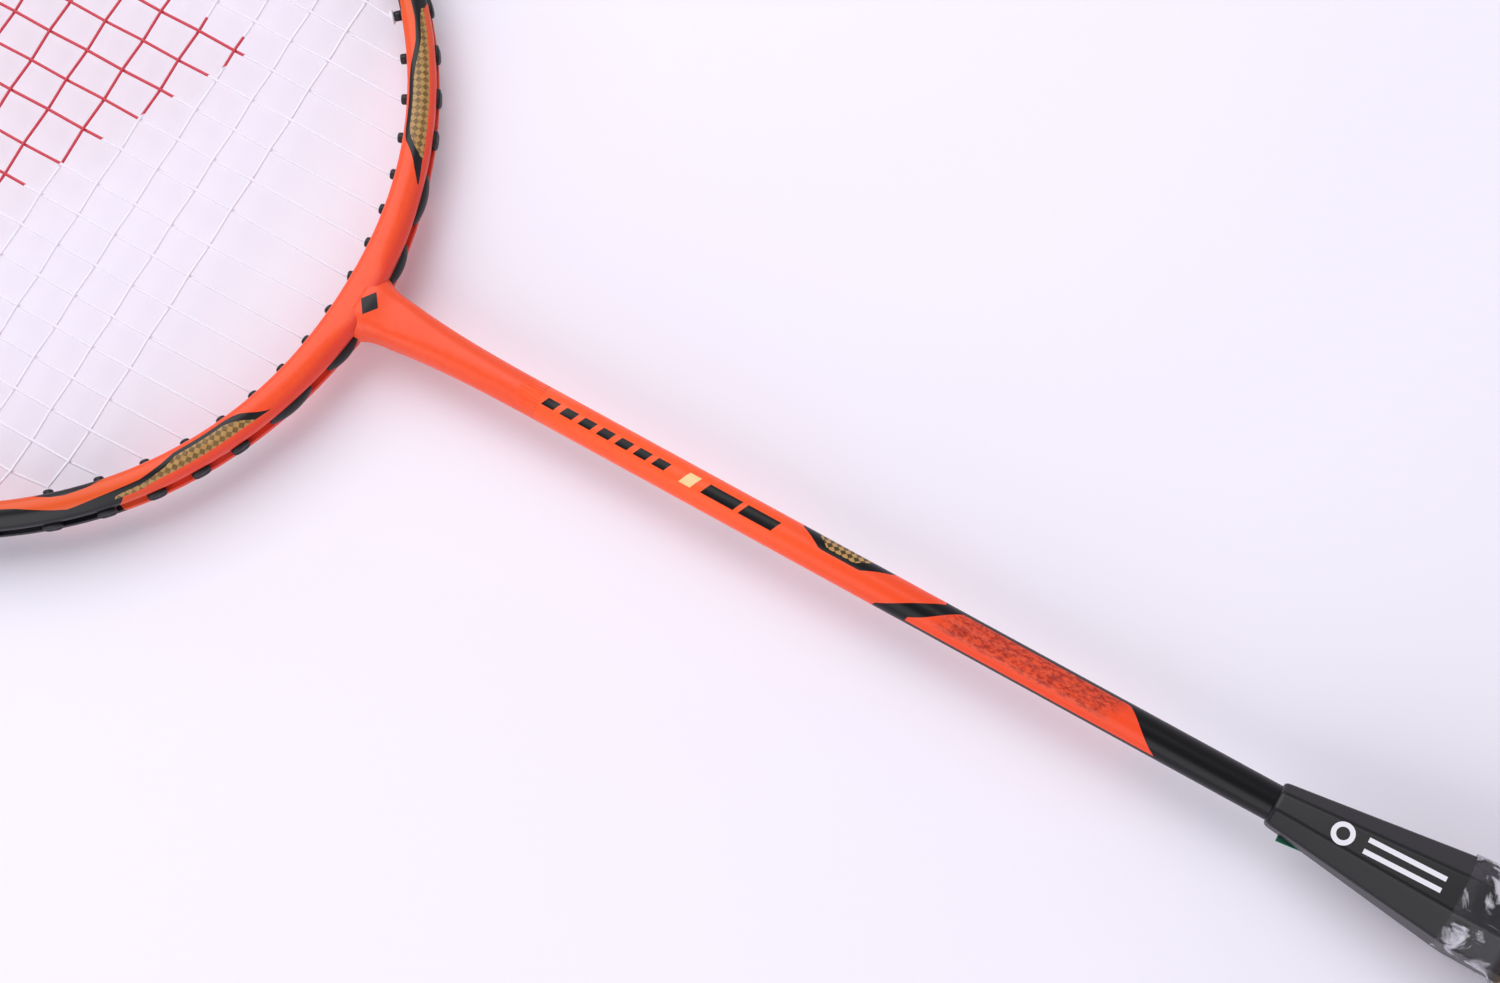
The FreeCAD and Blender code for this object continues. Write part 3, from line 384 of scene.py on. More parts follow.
def between(material, value, low, high):
    """1 where a value lies between two others, and 0 elsewhere."""
    above = add(material, "Math", {0: value, 1: low}, operation="GREATER_THAN")
    below = add(material, "Math", {0: value, 1: high}, operation="LESS_THAN")
    return add(material, "Math", {0: above, 1: below}, operation="MULTIPLY")


# Painted edges as (distance from the throat, distance across), right then left.
LINES = {
    "black_low": ([(0, 9), (24, 9), (25, 6.2), (28, 4.5), (30, 3.7), (32, 2.6), (34, 1.2),
                   (36, .8), (47, .9), (50, 1.3), (55, 2.7), (60, 3.2), (66, 3.0), (72, 3.4),
                   (80, 3.0), (95, 1.6), (115, -1), (130, -4), (345, -4)],
                  [(0, 9), (24.5, 9), (25.5, 6.5), (28, 5.3), (30, 4.0), (32, 2.4), (34, 1.7),
                   (36, 1.5), (47, 1.6), (50, 2.5), (55, 3.7), (60, 3.9), (64, 4.2), (70, 5.0),
                   (73, 4.4), (80, 2.8), (95, 1.6), (115, -1), (130, -4), (345, -4)]),
    "gold_low": ([(0, 9), (30.5, 9), (31, 5), (32, 4.1), (34, 2.6), (36, 1.8), (47, 1.9),
                  (50, 2.4), (55, 3.8), (60, 4.3), (62, 4.8), (64, 9), (345, 9)],
                 [(0, 9), (30.5, 9), (31, 5), (32, 4.2), (34, 3.0), (36, 2.3), (47, 2.4),
                  (50, 3.6), (55, 4.7), (60, 5.0), (61, 5.4), (63, 9), (345, 9)]),
    "gold_high": ([(0, 9), (33, 5.6), (40, 5.4), (52, 5.3), (56, 5.5), (62, 5.5), (345, 5.5)],
                  [(0, 9), (33, 5.1), (40, 5.1), (52, 5.2), (56, 5.8), (62, 5.8), (345, 5.8)]),
    "black_high": ([(0, 9), (33, 5.4), (34, 5.2), (47, 5.0), (52, 5.2), (63, 5.6), (65, 12),
                    (345, 12)],
                   [(0, 9), (33, 5.0), (34, 4.8), (47, 4.8), (52, 5.2), (60, 5.8), (62, 12),
                    (345, 12)]),
    "inner_black": ([(0, -4), (59, -4), (61, -.5), (63, .4), (70, .9), (76, .2), (79, -4),
                     (110, -4), (120, 12), (345, 12)],
                    [(0, -4), (59, -4), (60.5, -.5), (62, .5), (65, 1.6), (70, 2.0), (73, 1.7),
                     (76, .7), (79, -4), (110, -4), (120, 12), (345, 12)]),
}
hoop_share = add(lacquer, "Math", {0: marks["along"], 1: HALF_RUN}, operation="DIVIDE")
edges = {}
for name, sides in LINES.items():
    right_edge, left_edge = [painted_edge(lacquer, hoop_share, points, (0, HALF_RUN), PAINT_REACH)
                             for points in sides]
    edges[name] = add(lacquer, "Mix", {0: marks["right_side"], 2: left_edge, 3: right_edge})
outer_black = between(lacquer, marks["across"], edges["black_low"], edges["black_high"])
inner_black = between(lacquer, marks["across"], -9.0, edges["inner_black"])
black = add(lacquer, "Math", {0: outer_black, 1: inner_black}, operation="MAXIMUM")
gold = between(lacquer, marks["across"], edges["gold_low"], edges["gold_high"])

# A plain black lozenge marks the throat.
LOZENGE = ((0, 422.9), (2.7, 2.0))
object_place = add(lacquer, "TexCoord").outputs["Object"]
spot = add(lacquer, "SeparateXYZ", {0: object_place})
span = []
for axis in (0, 1):
    shifted = add(lacquer, "Math", {0: spot.outputs[axis], 1: -LOZENGE[0][axis] * MM},
                  operation="ADD")
    size = add(lacquer, "Math", {0: shifted}, operation="ABSOLUTE")
    span.append(add(lacquer, "Math", {0: size, 1: LOZENGE[1][axis] * MM}, operation="DIVIDE"))
total = add(lacquer, "Math", {0: span[0], 1: span[1]}, operation="ADD")
lozenge = add(lacquer, "Math", {0: total, 1: 1.0}, operation="LESS_THAN")
black = add(lacquer, "Math", {0: black, 1: lozenge}, operation="MAXIMUM")

# The weave has flat bundles of about a millimetre.
WEAVE = 1.05
cloth_place = add(lacquer, "CombineXYZ", {0: marks["along"], 1: marks["across"], 2: .5})
turned = add(lacquer, "VectorRotate", {0: cloth_place, "Angle": math.radians(45)},
             rotation_type="Z_AXIS")
cells = add(lacquer, "TexChecker", {0: turned, 1: linear("c39a5e"),
                                    2: linear("4f3b20"), 3: 1 / WEAVE})
tufts = add(lacquer, "TexNoise", {0: turned, "Scale": 1.3, "Detail": 1})
cloth = add(lacquer, "Mix", {0: tufts, 6: cells, 7: linear("96713f")}, data_type="RGBA")
pearl = add(lacquer, "TexNoise", {0: object_place, "Scale": 900, "Detail": 1})
orange = add(lacquer, "Mix", {0: pearl, 6: linear("f04a20"), 7: linear("f6562b")}, data_type="RGBA")
# The outer bevel and outer side turn a redder orange: painted shade, standing for the lesser light
# that falls on them.
side = add(lacquer, "MapRange", {0: marks["across"], 1: 4.9, 2: 6.4})
painted_side_shade = add(lacquer, "Mix", {0: side, 6: orange, 7: linear("e2402b")}, data_type="RGBA")
upward = add(lacquer, "MapRange", {0: marks["along"], 1: 48.0, 2: 64.0, 4: .7})
amber = add(lacquer, "Mix", {0: upward, 6: painted_side_shade, 7: linear("d9561c")}, data_type="RGBA")
lined = add(lacquer, "Mix", {0: black, 6: amber, 7: linear("0f0e14")}, data_type="RGBA")
finished = add(lacquer, "Mix", {0: gold, 6: lined, 7: cloth}, data_type="RGBA")
ripple = add(lacquer, "TexNoise", {0: object_place, "Scale": 260, "Detail": 1})
bump = add(lacquer, "Bump", {"Strength": .05, "Distance": .0002, "Height": ripple})
surface(lacquer, {"Base Color": finished, "Normal": bump, "Roughness": .42, "IOR": 1.5,
                  "Specular IOR Level": .3, "Coat Weight": .12, "Coat Roughness": .22})
head = make_piece("head_frame_painted", vertices, faces, lacquer, "frame_paint",
                  {"along": along, "across": across, "right_side": right})
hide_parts("head_frame")

# ------------------------------------------------- foam core, joint insert
# Inside the hoop is a closed-cell foam core; at the throat a cast aluminium
# T-piece joins hoop and shaft.  Neither shows on a whole racket.
foam = mottled("closed_cell_foam", "TexVoronoi", {"Scale": 1400}, ("e9e2cf", "cfc6ae"),
               {"Roughness": .9}, relief=(.4, .0002))
cast = mottled("cast_aluminium", "TexNoise", {"Scale": 900, "Detail": 3}, ("a9adb1", "c3c6c9"),
               {"Metallic": 1, "Roughness": .45})


def finish_node(name, finish):
    """Gives a CAD node its finish."""
    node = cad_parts[name]
    node.data.materials.clear()
    node.data.materials.append(finish)


for name in ("frame_foam_core", "shaft_plug"):
    finish_node(name, foam)
finish_node("joint_insert", cast)

# -------------------------------------------------------- string holes
# Each hole runs square to the hoop, but for the first pair, which lean away
# from the stem.  A main and a cross that come close share one hole.
TIP_PROUD = 1.7
MAINS_PER_SIDE = 11
FIRST_MAIN = 4.4
MAIN_PITCH = 7.5
CROSS_COUNT = 22
FIRST_CROSS = 30.3
CROSS_PITCH = 9.15
SHARE_REACH = 4.6
FIRST_LEAN = math.radians(17)
LOOP_DEPTH = 1.0
main_places = [FIRST_MAIN + MAIN_PITCH * i for i in range(MAINS_PER_SIDE)]
cross_places = [FIRST_CROSS + CROSS_PITCH * i - BED_HALF_LENGTH for i in range(CROSS_COUNT)]


def main_end(x, end):
    """Where the main at x meets the inner outline, so that the tip is on its line."""
    edge = x
    for _ in range(4):
        edge = x + outward(edge, end * outline_y(edge)).x * TIP_PROUD
    return edge, end * outline_y(edge)


def cross_end(height):
    """Where the cross at a height meets the inner outline, its tip on its line."""
    edge = height
    for _ in range(4):
        edge = height + outward(outline_x(edge), edge).y * TIP_PROUD
    return outline_x(edge), edge


def string_hole(names, x, y, lean=0.0):
    """A hole's inner end, tip and turning point, all above the head's centre."""
    square = outward(x, y)
    axis = Matrix.Rotation(lean, 3, "Z") @ square
    inner = Vector((x, y, 0))
    run = width_at(x, y) / max(axis.dot(square), .5)
    return {"names": names, "axis": axis, "inner": inner, "tip": inner - axis * TIP_PROUD,
            "outer": inner + axis * run, "turn": inner + axis * (run - LOOP_DEPTH)}


crosses = [(("cross", i, "side"), cross_end(height)) for i, height in enumerate(cross_places)]
right_holes, taken = [], set()
for number, x in enumerate(main_places):
    for end, place in ((-1, "bottom"), (1, "top")):
        names = {("main", number, place)}
        x_edge, y_edge = main_end(x, end)
        near = min(crosses, key=lambda item: math.hypot(item[1][0] - x_edge,
                                                        item[1][1] - y_edge))
        gap = math.hypot(near[1][0] - x_edge, near[1][1] - y_edge)
        if gap < SHARE_REACH and near[0][1] not in taken:
            taken.add(near[0][1])
            names.add(near[0])
            y_edge = (y_edge + near[1][1]) / 2
            x_edge = outline_x(y_edge)
        lean = FIRST_LEAN if (number, place) == (0, "bottom") else 0.0
        right_holes.append(string_hole(names, x_edge, y_edge, lean))
right_holes += [string_hole({key}, *end) for key, end in crosses if key[1] not in taken]
right_holes.sort(key=lambda hole: math.atan2(hole["inner"].x, -hole["inner"].y))


def at(point, z=0.0):
    """A point above the head's centre, as a place on the racket in millimetres."""
    return Vector((point.x, point.y + HEAD_Y, z))


def mirrored(hole):
    """The same hole on the left of the hoop."""
    flip = Vector((-1, 1, 1))
    return {key: value if key == "names" else value * flip for key, value in hole.items()}


holes = {1: right_holes, -1: [mirrored(hole) for hole in right_holes]}


def hole_index(kind, number, place):
    """Which hole, counted from the throat, a string end goes through."""
    return next(i for i, hole in enumerate(right_holes) if (kind, number, place) in hole["names"])


# --------------------------------------------------------- grommet strips
# Black nylon barrels line the holes, with pads that the loops bear on: joined
# in pairs by the stem, in one long strip at the top, single in between.
nylon = mottled("moulded_black_nylon", "TexNoise", {"Scale": 2200, "Detail": 2},
                ("0f0e13", "19181e"),
                {"Roughness": .42, "IOR": 1.53, "Specular IOR Level": .35}, relief=(.15, .0001))


def lathe(profile, origin, axis, steps=24):
    """Points and faces of a closed section (radius, distance) turned about an axis."""
    axis = axis.normalized()
    first_side = axis.orthogonal().normalized()
    other_side = axis.cross(first_side)
    points = []
    for step in range(steps):
        turn = 2 * math.pi * step / steps
        ray = first_side * math.cos(turn) + other_side * math.sin(turn)
        points += [origin + ray * radius + axis * distance for radius, distance in profile]
    return points, ring_faces(steps, len(profile))


def barrel(hole):
    """A barrel with a rounded mouth, from inside the frame to its proud tip."""
    profile = [(1.1, .8), (1.1, -1.35), (1.04, -1.56), (.92, -1.68), (.8, -1.66), (.72, -1.5),
               (.7, -1.2), (.7, .8)]
    return lathe(profile, at(hole["inner"]), hole["axis"])


def pad(hole, length=4.1, height=3.2, proud=.84):
    """A pillow-shaped pad over the outer end of a hole, with a shallow string slot."""
    away, up = hole["axis"], Vector((0, 0, 1))
    along = up.cross(away)
    points, columns = [], 28
    for size, lift in ((1, -.7), (1, .35), (.95, .62), (.84, .82), (.62, .94), (.3, 1)):
        for column in range(columns):
            turn = 2 * math.pi * column / columns
            cos, sin = math.cos(turn), math.sin(turn)
            x = length / 2 * size * math.copysign(abs(cos) ** .75, cos)
            z = height / 2 * size * math.copysign(abs(sin) ** .75, sin)
            slot = .3 * math.exp(-(z / .45) ** 2) if lift > .7 else 0
            rise = lift * proud if lift > 0 else lift
            points.append(at(hole["outer"]) + along * x + up * z + away * (rise - slot))
    return points, rod_faces(len(points) // columns, columns)


def bridge(side, low_x, high_x, end, proud, sharp, height=3.6):
    """A lens-shaped strip on the outer face, over the holes from low_x to high_x."""
    points, columns, rows = [], 24, 41
    for row in range(rows):
        share = row / (rows - 1)
        x = low_x + (high_x - low_x) * share
        y = end * outline_y(x)
        swell = max(.05, math.sin(math.pi * share)) ** sharp
        square = outward(x, y)
        base = Vector((x, y, 0)) + square * width_at(x, y)
        for column in range(columns):
            turn = 2 * math.pi * column / columns
            reach = proud * swell if math.cos(turn) > 0 else .6
            spot = base + square * (reach * math.cos(turn) - .15)
            z = height / 2 * swell ** .5 * math.sin(turn)
            points.append(at(Vector((spot.x * side, spot.y, 0)), z * side))
    return points, rod_faces(rows, columns)


STRIP = 2
TOP_STRIP = 6
last = len(right_holes)
lower_end = hole_index("cross", 1, "side") + 1
upper_start = hole_index("main", 10, "top")
groups = {"throat_strip_inner_": range(0, STRIP), "throat_strip_outer_": range(STRIP, 2 * STRIP),
          "grommets_lower_": range(2 * STRIP, lower_end),
          "grommets_side_": range(lower_end, upper_start),
          "grommets_upper_": range(upper_start, last - TOP_STRIP),
          "top_strip_": range(last - TOP_STRIP, last)}
bridges = {"throat_strip_inner_": (5.4, 14.2, -1, 1.3, .6),
           "throat_strip_outer_": (18.6, 28.4, -1, 1.15, .6),
           "top_strip_": (2.4, 47.0, 1, .8, .15)}
for side, side_name in ((1, "right"), (-1, "left")):
    for kind, members in groups.items():
        points, faces = [], []
        for index in members:
            extend(points, faces, *barrel(holes[side][index]))
            if kind not in bridges:
                extend(points, faces, *pad(holes[side][index]))
        if kind in bridges:
            extend(points, faces, *bridge(side, *bridges[kind]))
        made = make_piece(kind + side_name + "_moulded", points, faces, nylon, "grommet_nylon")
        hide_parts(kind + side_name)

# ---------------------------------------------------------------- strings
# Two white multifilament nylon strings, 0.66 mm thick, woven over and under
# each other and pulled tight.  A plain slanted block is dyed red on the bed.
STRING_RADIUS = .33
STRING_LEAD = .7
TIP_CLEAR = 1.5
SAG_SHARE, SAG_MOST = .06, .12


def weave_height(main, cross):
    """Which way a main goes round a cross, as a height; the cross goes the other way."""
    return STRING_RADIUS if (main + cross) % 2 else -STRING_RADIUS


def entry(hole):
    """From a hole's turning point to just past its tip."""
    return [at(hole["turn"]), at(hole["tip"]), at(hole["tip"] - hole["axis"] * STRING_LEAD)]


def loop(start, stop):
    """Turning points in the groove, from one hole to another, without the two ends."""
    (side, first), (_, last) = start, stop
    step = 1 if last > first else -1
    path = []
    for index in range(first, last, step):
        here, there = holes[side][index], holes[side][index + step]
        for share in (.25, .5, .75):
            near = here["turn"].lerp(there["turn"], share)
            bulge = here["outer"].lerp(there["outer"], share) - near
            sag = 4 * share * (1 - share) * SAG_SHARE * (here["turn"] - there["turn"]).length
            path.append(at(near + bulge.normalized() * min(sag, SAG_MOST)))
        if index + step != last:
            path.append(at(there["turn"]))
    return path


def main_run(side, number, upward):
    """One main across the bed, woven past each cross."""
    column = number if side > 0 else -1 - number
    low = holes[side][hole_index("main", number, "bottom")]
    high = holes[side][hole_index("main", number, "top")]
    x = side * main_places[number]
    middle = [Vector((x, y + HEAD_Y, weave_height(column, row)))
              for row, y in enumerate(cross_places)
              if low["tip"].y + TIP_CLEAR < y < high["tip"].y - TIP_CLEAR]
    path = entry(low) + middle + list(reversed(entry(high)))
    return path if upward else list(reversed(path))


def cross_run(row, rightward):
    """One cross over the bed, woven past each main."""
    index = hole_index("cross", row, "side")
    left, right_end = holes[-1][index], holes[1][index]
    columns_here = [(-x, -1 - i) for i, x in reversed(list(enumerate(main_places)))]
    columns_here += [(x, i) for i, x in enumerate(main_places)]
    middle = [Vector((x, cross_places[row] + HEAD_Y, -weave_height(column, row)))
              for x, column in columns_here if abs(x) < right_end["tip"].x - TIP_CLEAR]
    path = entry(left) + middle + list(reversed(entry(right_end)))
    return path if rightward else list(reversed(path))


def main_half(side):
    """The mains of one side, from the middle out to the tie-off."""
    path = []
    for number in range(MAINS_PER_SIDE):
        upward = number % 2 == 1
        if number:
            place = "bottom" if upward else "top"
            path += loop((side, hole_index("main", number - 1, place)),
                         (side, hole_index("main", number, place)))
        path += main_run(side, number, upward)
    tie = hole_index("cross", 2, "side")
    last = hole_index("main", MAINS_PER_SIDE - 1, "bottom")
    path += loop((side, last), (side, tie))
    return path + entry(holes[side][tie])


main_path = list(reversed(main_half(-1))) + main_half(1)
low_tie = hole_index("main", 7, "bottom")
high_tie = hole_index("main", 7, "top")
cross_path = list(reversed(entry(holes[1][low_tie])))
cross_path += loop((1, low_tie), (1, hole_index("cross", 0, "side")))
side = 1
for row in range(CROSS_COUNT):
    cross_path += cross_run(row, side < 0)
    side = -side
    if row < CROSS_COUNT - 1:
        cross_path += loop((side, hole_index("cross", row, "side")),
                           (side, hole_index("cross", row + 1, "side")))
cross_path += loop((side, hole_index("cross", CROSS_COUNT - 1, "side")), (side, high_tie))
cross_path += entry(holes[side][high_tie])

# Braided nylon with a faint spiral of filaments; the dye is a plain block with
# slanted ends, drawn across the middle of the bed.
BLOCK_HALF_WIDTH = 37.8
BLOCK_SLANT = -.53
BLOCK_HALF_HEIGHT = 54.8
string_nylon = new_material("braided_nylon_string")
place = add(string_nylon, "TexCoord").outputs["Object"]
axes = add(string_nylon, "SeparateXYZ", {0: place})
x_off = add(string_nylon, "Math", {0: axes.outputs[0]}, operation="ABSOLUTE")
inside_x = add(string_nylon, "Math", {0: x_off, 1: BLOCK_HALF_WIDTH * MM}, operation="LESS_THAN")
lean = add(string_nylon, "Math", {0: axes.outputs[0], 1: -BLOCK_SLANT, 2: axes.outputs[1]},
           operation="MULTIPLY_ADD")
y_off = add(string_nylon, "Math", {0: lean, 1: HEAD_Y * MM}, operation="SUBTRACT")
y_size = add(string_nylon, "Math", {0: y_off}, operation="ABSOLUTE")
inside_y = add(string_nylon, "Math", {0: y_size, 1: BLOCK_HALF_HEIGHT * MM}, operation="LESS_THAN")
dyed = add(string_nylon, "Math", {0: inside_x, 1: inside_y}, operation="MULTIPLY")
strands = add(string_nylon, "TexNoise", {0: place, "Scale": 1500, "Detail": 2})
white = add(string_nylon, "Mix", {0: strands, 6: linear("e4ddec"),
                                  7: linear("f3eef8")}, data_type="RGBA")
red = add(string_nylon, "Mix", {0: strands, 6: linear("bb2438"),
                                7: linear("cf3148")}, data_type="RGBA")
shade = add(string_nylon, "Mix", {0: dyed, 6: white, 7: red}, data_type="RGBA")
braid = add(string_nylon, "Bump", {"Strength": .3, "Distance": .00008,
                                   "Height": strands})
surface(string_nylon, {"Base Color": shade, "Normal": braid, "Roughness": .35, "IOR": 1.53})
for name, path, node in (("main_string_woven", main_path, "main_string"),
                         ("cross_string_woven", cross_path, "cross_string")):
    curve = bpy.data.curves.new(name, "CURVE")
    curve.dimensions = "3D"
    curve.bevel_depth = STRING_RADIUS * MM
    curve.bevel_resolution = 2
    curve.use_fill_caps = True
    spline = curve.splines.new("POLY")
    spline.points.add(len(path) - 1)
    for spot, point in zip(spline.points, path):
        spot.co = (*(point * MM), 1)
    curve.materials.append(string_nylon)
    string = bpy.data.objects.new(name, curve)
    scene.collection.objects.link(string)
    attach(string, "root")
    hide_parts(node)
for name in ("main_string_knots", "cross_string_knots"):
    finish_node(name, string_nylon)

# ------------------------------------------------------------------ shaft
# A thin pultruded carbon tube, glued into stem and handle, in the hoop's orange
# lacquer: black lining, a gold panel, a glittering stretch, then plain black.
SHAFT_LOW, SHAFT_TOP, SHAFT_BORE = 75.0, 382.8, 5.0
tube = new_material("lacquered_carbon_tube")
place = add(tube, "TexCoord").outputs["Object"]
axes = add(tube, "SeparateXYZ", {0: place})
face = add(tube, "Math", {0: axes.outputs[2]}, operation="ABSOLUTE")
turn = add(tube, "Math", {0: axes.outputs[0], 1: face}, operation="ARCTAN2")
around = add(tube, "Math", {0: turn, 1: SHAFT_DIAMETER / 2}, operation="MULTIPLY")
down = add(tube, "Math", {0: axes.outputs[1], 1: 1000.0}, operation="MULTIPLY")
RUN, ROUND = (200.0, 400.0), (-7.0, 7.0)
run_share = add(tube, "Math", {0: down, 1: -RUN[0]}, operation="ADD")
run_share = add(tube, "Math", {0: run_share, 1: RUN[1] - RUN[0]}, operation="DIVIDE")


def shaft_line(points):
    """How far round the shaft a painted edge lies, all the way down it."""
    return painted_edge(tube, run_share, points, RUN, ROUND)


upper_edge = shaft_line([(400, 7), (324.9, 7), (324.2, 3.4), (319.3, .3), (310.2, .3),
                         (304.2, 3.4), (302.5, 7), (293, 7), (292.2, 3.1), (251.8, 3.1),
                         (248.2, -.3), (243.8, -4.1), (242, -7), (200, -7)])
lower_edge = shaft_line([(400, -7), (305.5, -7), (298.4, -4.7), (245, -4.7), (200, -4.7)])
band_high = shaft_line([(400, -7), (305.6, -7), (305.1, -4.5), (301.4, -2.2), (298.4, -.5),
                        (295.4, 1.1), (292.2, 3.2), (291.2, 7), (200, 7)])
band_low = shaft_line([(400, -7), (298.5, -7), (298, -3.6), (295, -1.9), (292, .2),
                       (289, 2.5), (288, 3.3), (287, 7), (200, 7)])
gold_edge = shaft_line([(400, 7), (321.2, 7), (320.7, 3.7), (318, 1.15), (311.8, 1.15),
                        (308.6, 3.7), (308, 7), (200, 7)])
above = add(tube, "Math", {0: around, 1: upper_edge}, operation="GREATER_THAN")
below = add(tube, "Math", {0: around, 1: lower_edge}, operation="LESS_THAN")
black = add(tube, "Math", {0: above, 1: below}, operation="MAXIMUM")
band = between(tube, around, band_low, band_high)
black = add(tube, "Math", {0: black, 1: band}, operation="MAXIMUM")
gold = add(tube, "Math", {0: around, 1: gold_edge}, operation="GREATER_THAN")

# Where a name would be there is only a row of plain slanted dashes, a cream
# block and two longer dashes: (start, stop, pitch, inked share, half width).
DASHES = ((353.5, 383.0, 4.25, .66, .95), (328.8, 345.4, 8.6, .86, 1.25))
DASH_SLANT = .45
CREAM_START, CREAM_STOP, CREAM_HALF = 347.0, 349.6, 1.4
skew = add(tube, "Math", {0: around, 1: DASH_SLANT, 2: down}, operation="MULTIPLY_ADD")
near_top = add(tube, "Math", {0: around}, operation="ABSOLUTE")
for start, stop, pitch, inked, half in DASHES:
    row = between(tube, skew, start, stop)
    step = add(tube, "Math", {0: skew, 1: -start}, operation="ADD")
    step = add(tube, "Math", {0: step, 1: pitch}, operation="MODULO")
    length = add(tube, "Math", {0: step, 1: pitch * inked}, operation="LESS_THAN")
    width = add(tube, "Math", {0: near_top, 1: half}, operation="LESS_THAN")
    dash = add(tube, "Math", {0: length, 1: width}, operation="MULTIPLY")
    dash = add(tube, "Math", {0: row, 1: dash}, operation="MULTIPLY")
    black = add(tube, "Math", {0: black, 1: dash}, operation="MAXIMUM")
length = between(tube, skew, CREAM_START, CREAM_STOP)
width = add(tube, "Math", {0: near_top, 1: CREAM_HALF}, operation="LESS_THAN")
cream = add(tube, "Math", {0: length, 1: width}, operation="MULTIPLY")

# The stretch before the black holds coarse metal flake, about half a millimetre.
streaked = add(tube, "Mapping", {0: place, 3: (1, .45, 1)})
flakes = add(tube, "TexNoise", {0: streaked, "Scale": 1500, "Detail": 3,
                                "Roughness": .7})
flake_tone = add(tube, "MapRange", {0: flakes, 1: .38, 2: .6})
flake = add(tube, "Mix", {0: flake_tone, 6: linear("a02c22"), 7: linear("e2502f")},
            data_type="RGBA")
upper = add(tube, "MapRange", {0: skew, 1: 293.0, 2: 288.5})
lower = add(tube, "MapRange", {0: skew, 1: 252.5, 2: 256.5})
inner_side = add(tube, "MapRange", {0: around, 1: -2.9, 2: -1.9})
sparkling = add(tube, "Math", {0: upper, 1: lower}, operation="MULTIPLY")
sparkling = add(tube, "Math", {0: sparkling, 1: inner_side}, operation="MULTIPLY")
pearl = add(tube, "TexNoise", {0: place, "Scale": 900, "Detail": 1})
orange = add(tube, "Mix", {0: pearl, 6: linear("fa5526"), 7: linear("ff6233")}, data_type="RGBA")
flat = add(tube, "CombineXYZ", {0: around, 1: down, 2: .5})
turned = add(tube, "VectorRotate", {0: flat, "Angle": math.radians(45)}, rotation_type="Z_AXIS")
cloth = add(tube, "TexChecker", {0: turned, 1: linear("b98f55"), 2: linear("4a3a20"),
                                 3: 1 / WEAVE})
fade = add(tube, "MapRange", {0: down, 1: 345.0, 2: 290.0})
deeper = add(tube, "Mix", {0: fade, 6: orange, 7: linear("ee4a24")}, data_type="RGBA")
shade = add(tube, "Mix", {0: sparkling, 6: deeper, 7: flake}, data_type="RGBA")
shade = add(tube, "Mix", {0: black, 6: shade, 7: linear("08070c")}, data_type="RGBA")
shade = add(tube, "Mix", {0: gold, 6: shade, 7: cloth}, data_type="RGBA")
shade = add(tube, "Mix", {0: cream, 6: shade, 7: linear("f0cf96")}, data_type="RGBA")
ripple = add(tube, "TexNoise", {0: place, "Scale": 260, "Detail": 1})
bump = add(tube, "Bump", {"Strength": .05, "Distance": .0002, "Height": ripple})
surface(tube, {"Base Color": shade, "Normal": bump, "Roughness": .36, "IOR": 1.5,
               "Specular IOR Level": .2, "Coat Weight": .08, "Coat Roughness": .2})
outer, inner = SHAFT_DIAMETER / 2, SHAFT_BORE / 2
profile = [(inner, 0), (outer - .3, 0), (outer, .3)]
profile += [(outer, 10.0 * i) for i in range(1, 31)]
profile += [(outer, SHAFT_TOP - SHAFT_LOW + 5), (inner, SHAFT_TOP - SHAFT_LOW + 5)]
made = make_piece("shaft_tube_painted",
                  *lathe(profile, Vector((0, SHAFT_LOW, 0)), Vector((0, 1, 0)), 64),
                  tube, "shaft_paint")
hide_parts("shaft_tube")

# ------------------------------------------------------- cone over the handle
# A satin black ABS cap tapers from the handle's eight sides to the shaft.  Its
# edges are softened, and its top face carries a plain white ring and lines.
CONE_TOP, CONE_BASE_Y, SKIRT_END = 219.2, 179.2, 167.0
CONE_SMALL, CONE_WIDE, CONE_DEEP, CORNER_SHARE = 8.8, 18.4, 19.8, .29
RING_Y, RING_RADII = 205.5, (1.3, 2.3)
LINE_ENDS, LINE_PLACE, LINE_HALF = (185.1, 200.8), 1.2, .5
PRINT_FLOOR = 3.0


def octagon(width, depth, radius):
    """An eight-sided section with rounded corners, as (x, z) points."""
    cut = CORNER_SHARE * width
    a, b = width / 2, depth / 2
    corners = [Vector(corner) for corner in (
        (a, b - cut), (a - cut, b), (cut - a, b), (-a, b - cut),
        (-a, cut - b), (cut - a, -b), (a - cut, -b), (a, cut - b))]
    points = []
    for i, corner in enumerate(corners):
        points += bend(corners[i - 1], corner, corners[(i + 1) % 8], radius, .42)
    return points


def loft(sections):
    """A closed skin through (y, points) sections, with both ends filled in."""
    points = [Vector((x, y, z)) for y, ring in sections for x, z in ring]
    return points, rod_faces(len(sections), len(sections[0][1]))


def keep_flats(made):
    """Keeps broad faces flat in the shading, with only their edges soft."""
    made.modifiers.new("flats", "WEIGHTED_NORMAL").weight = 90


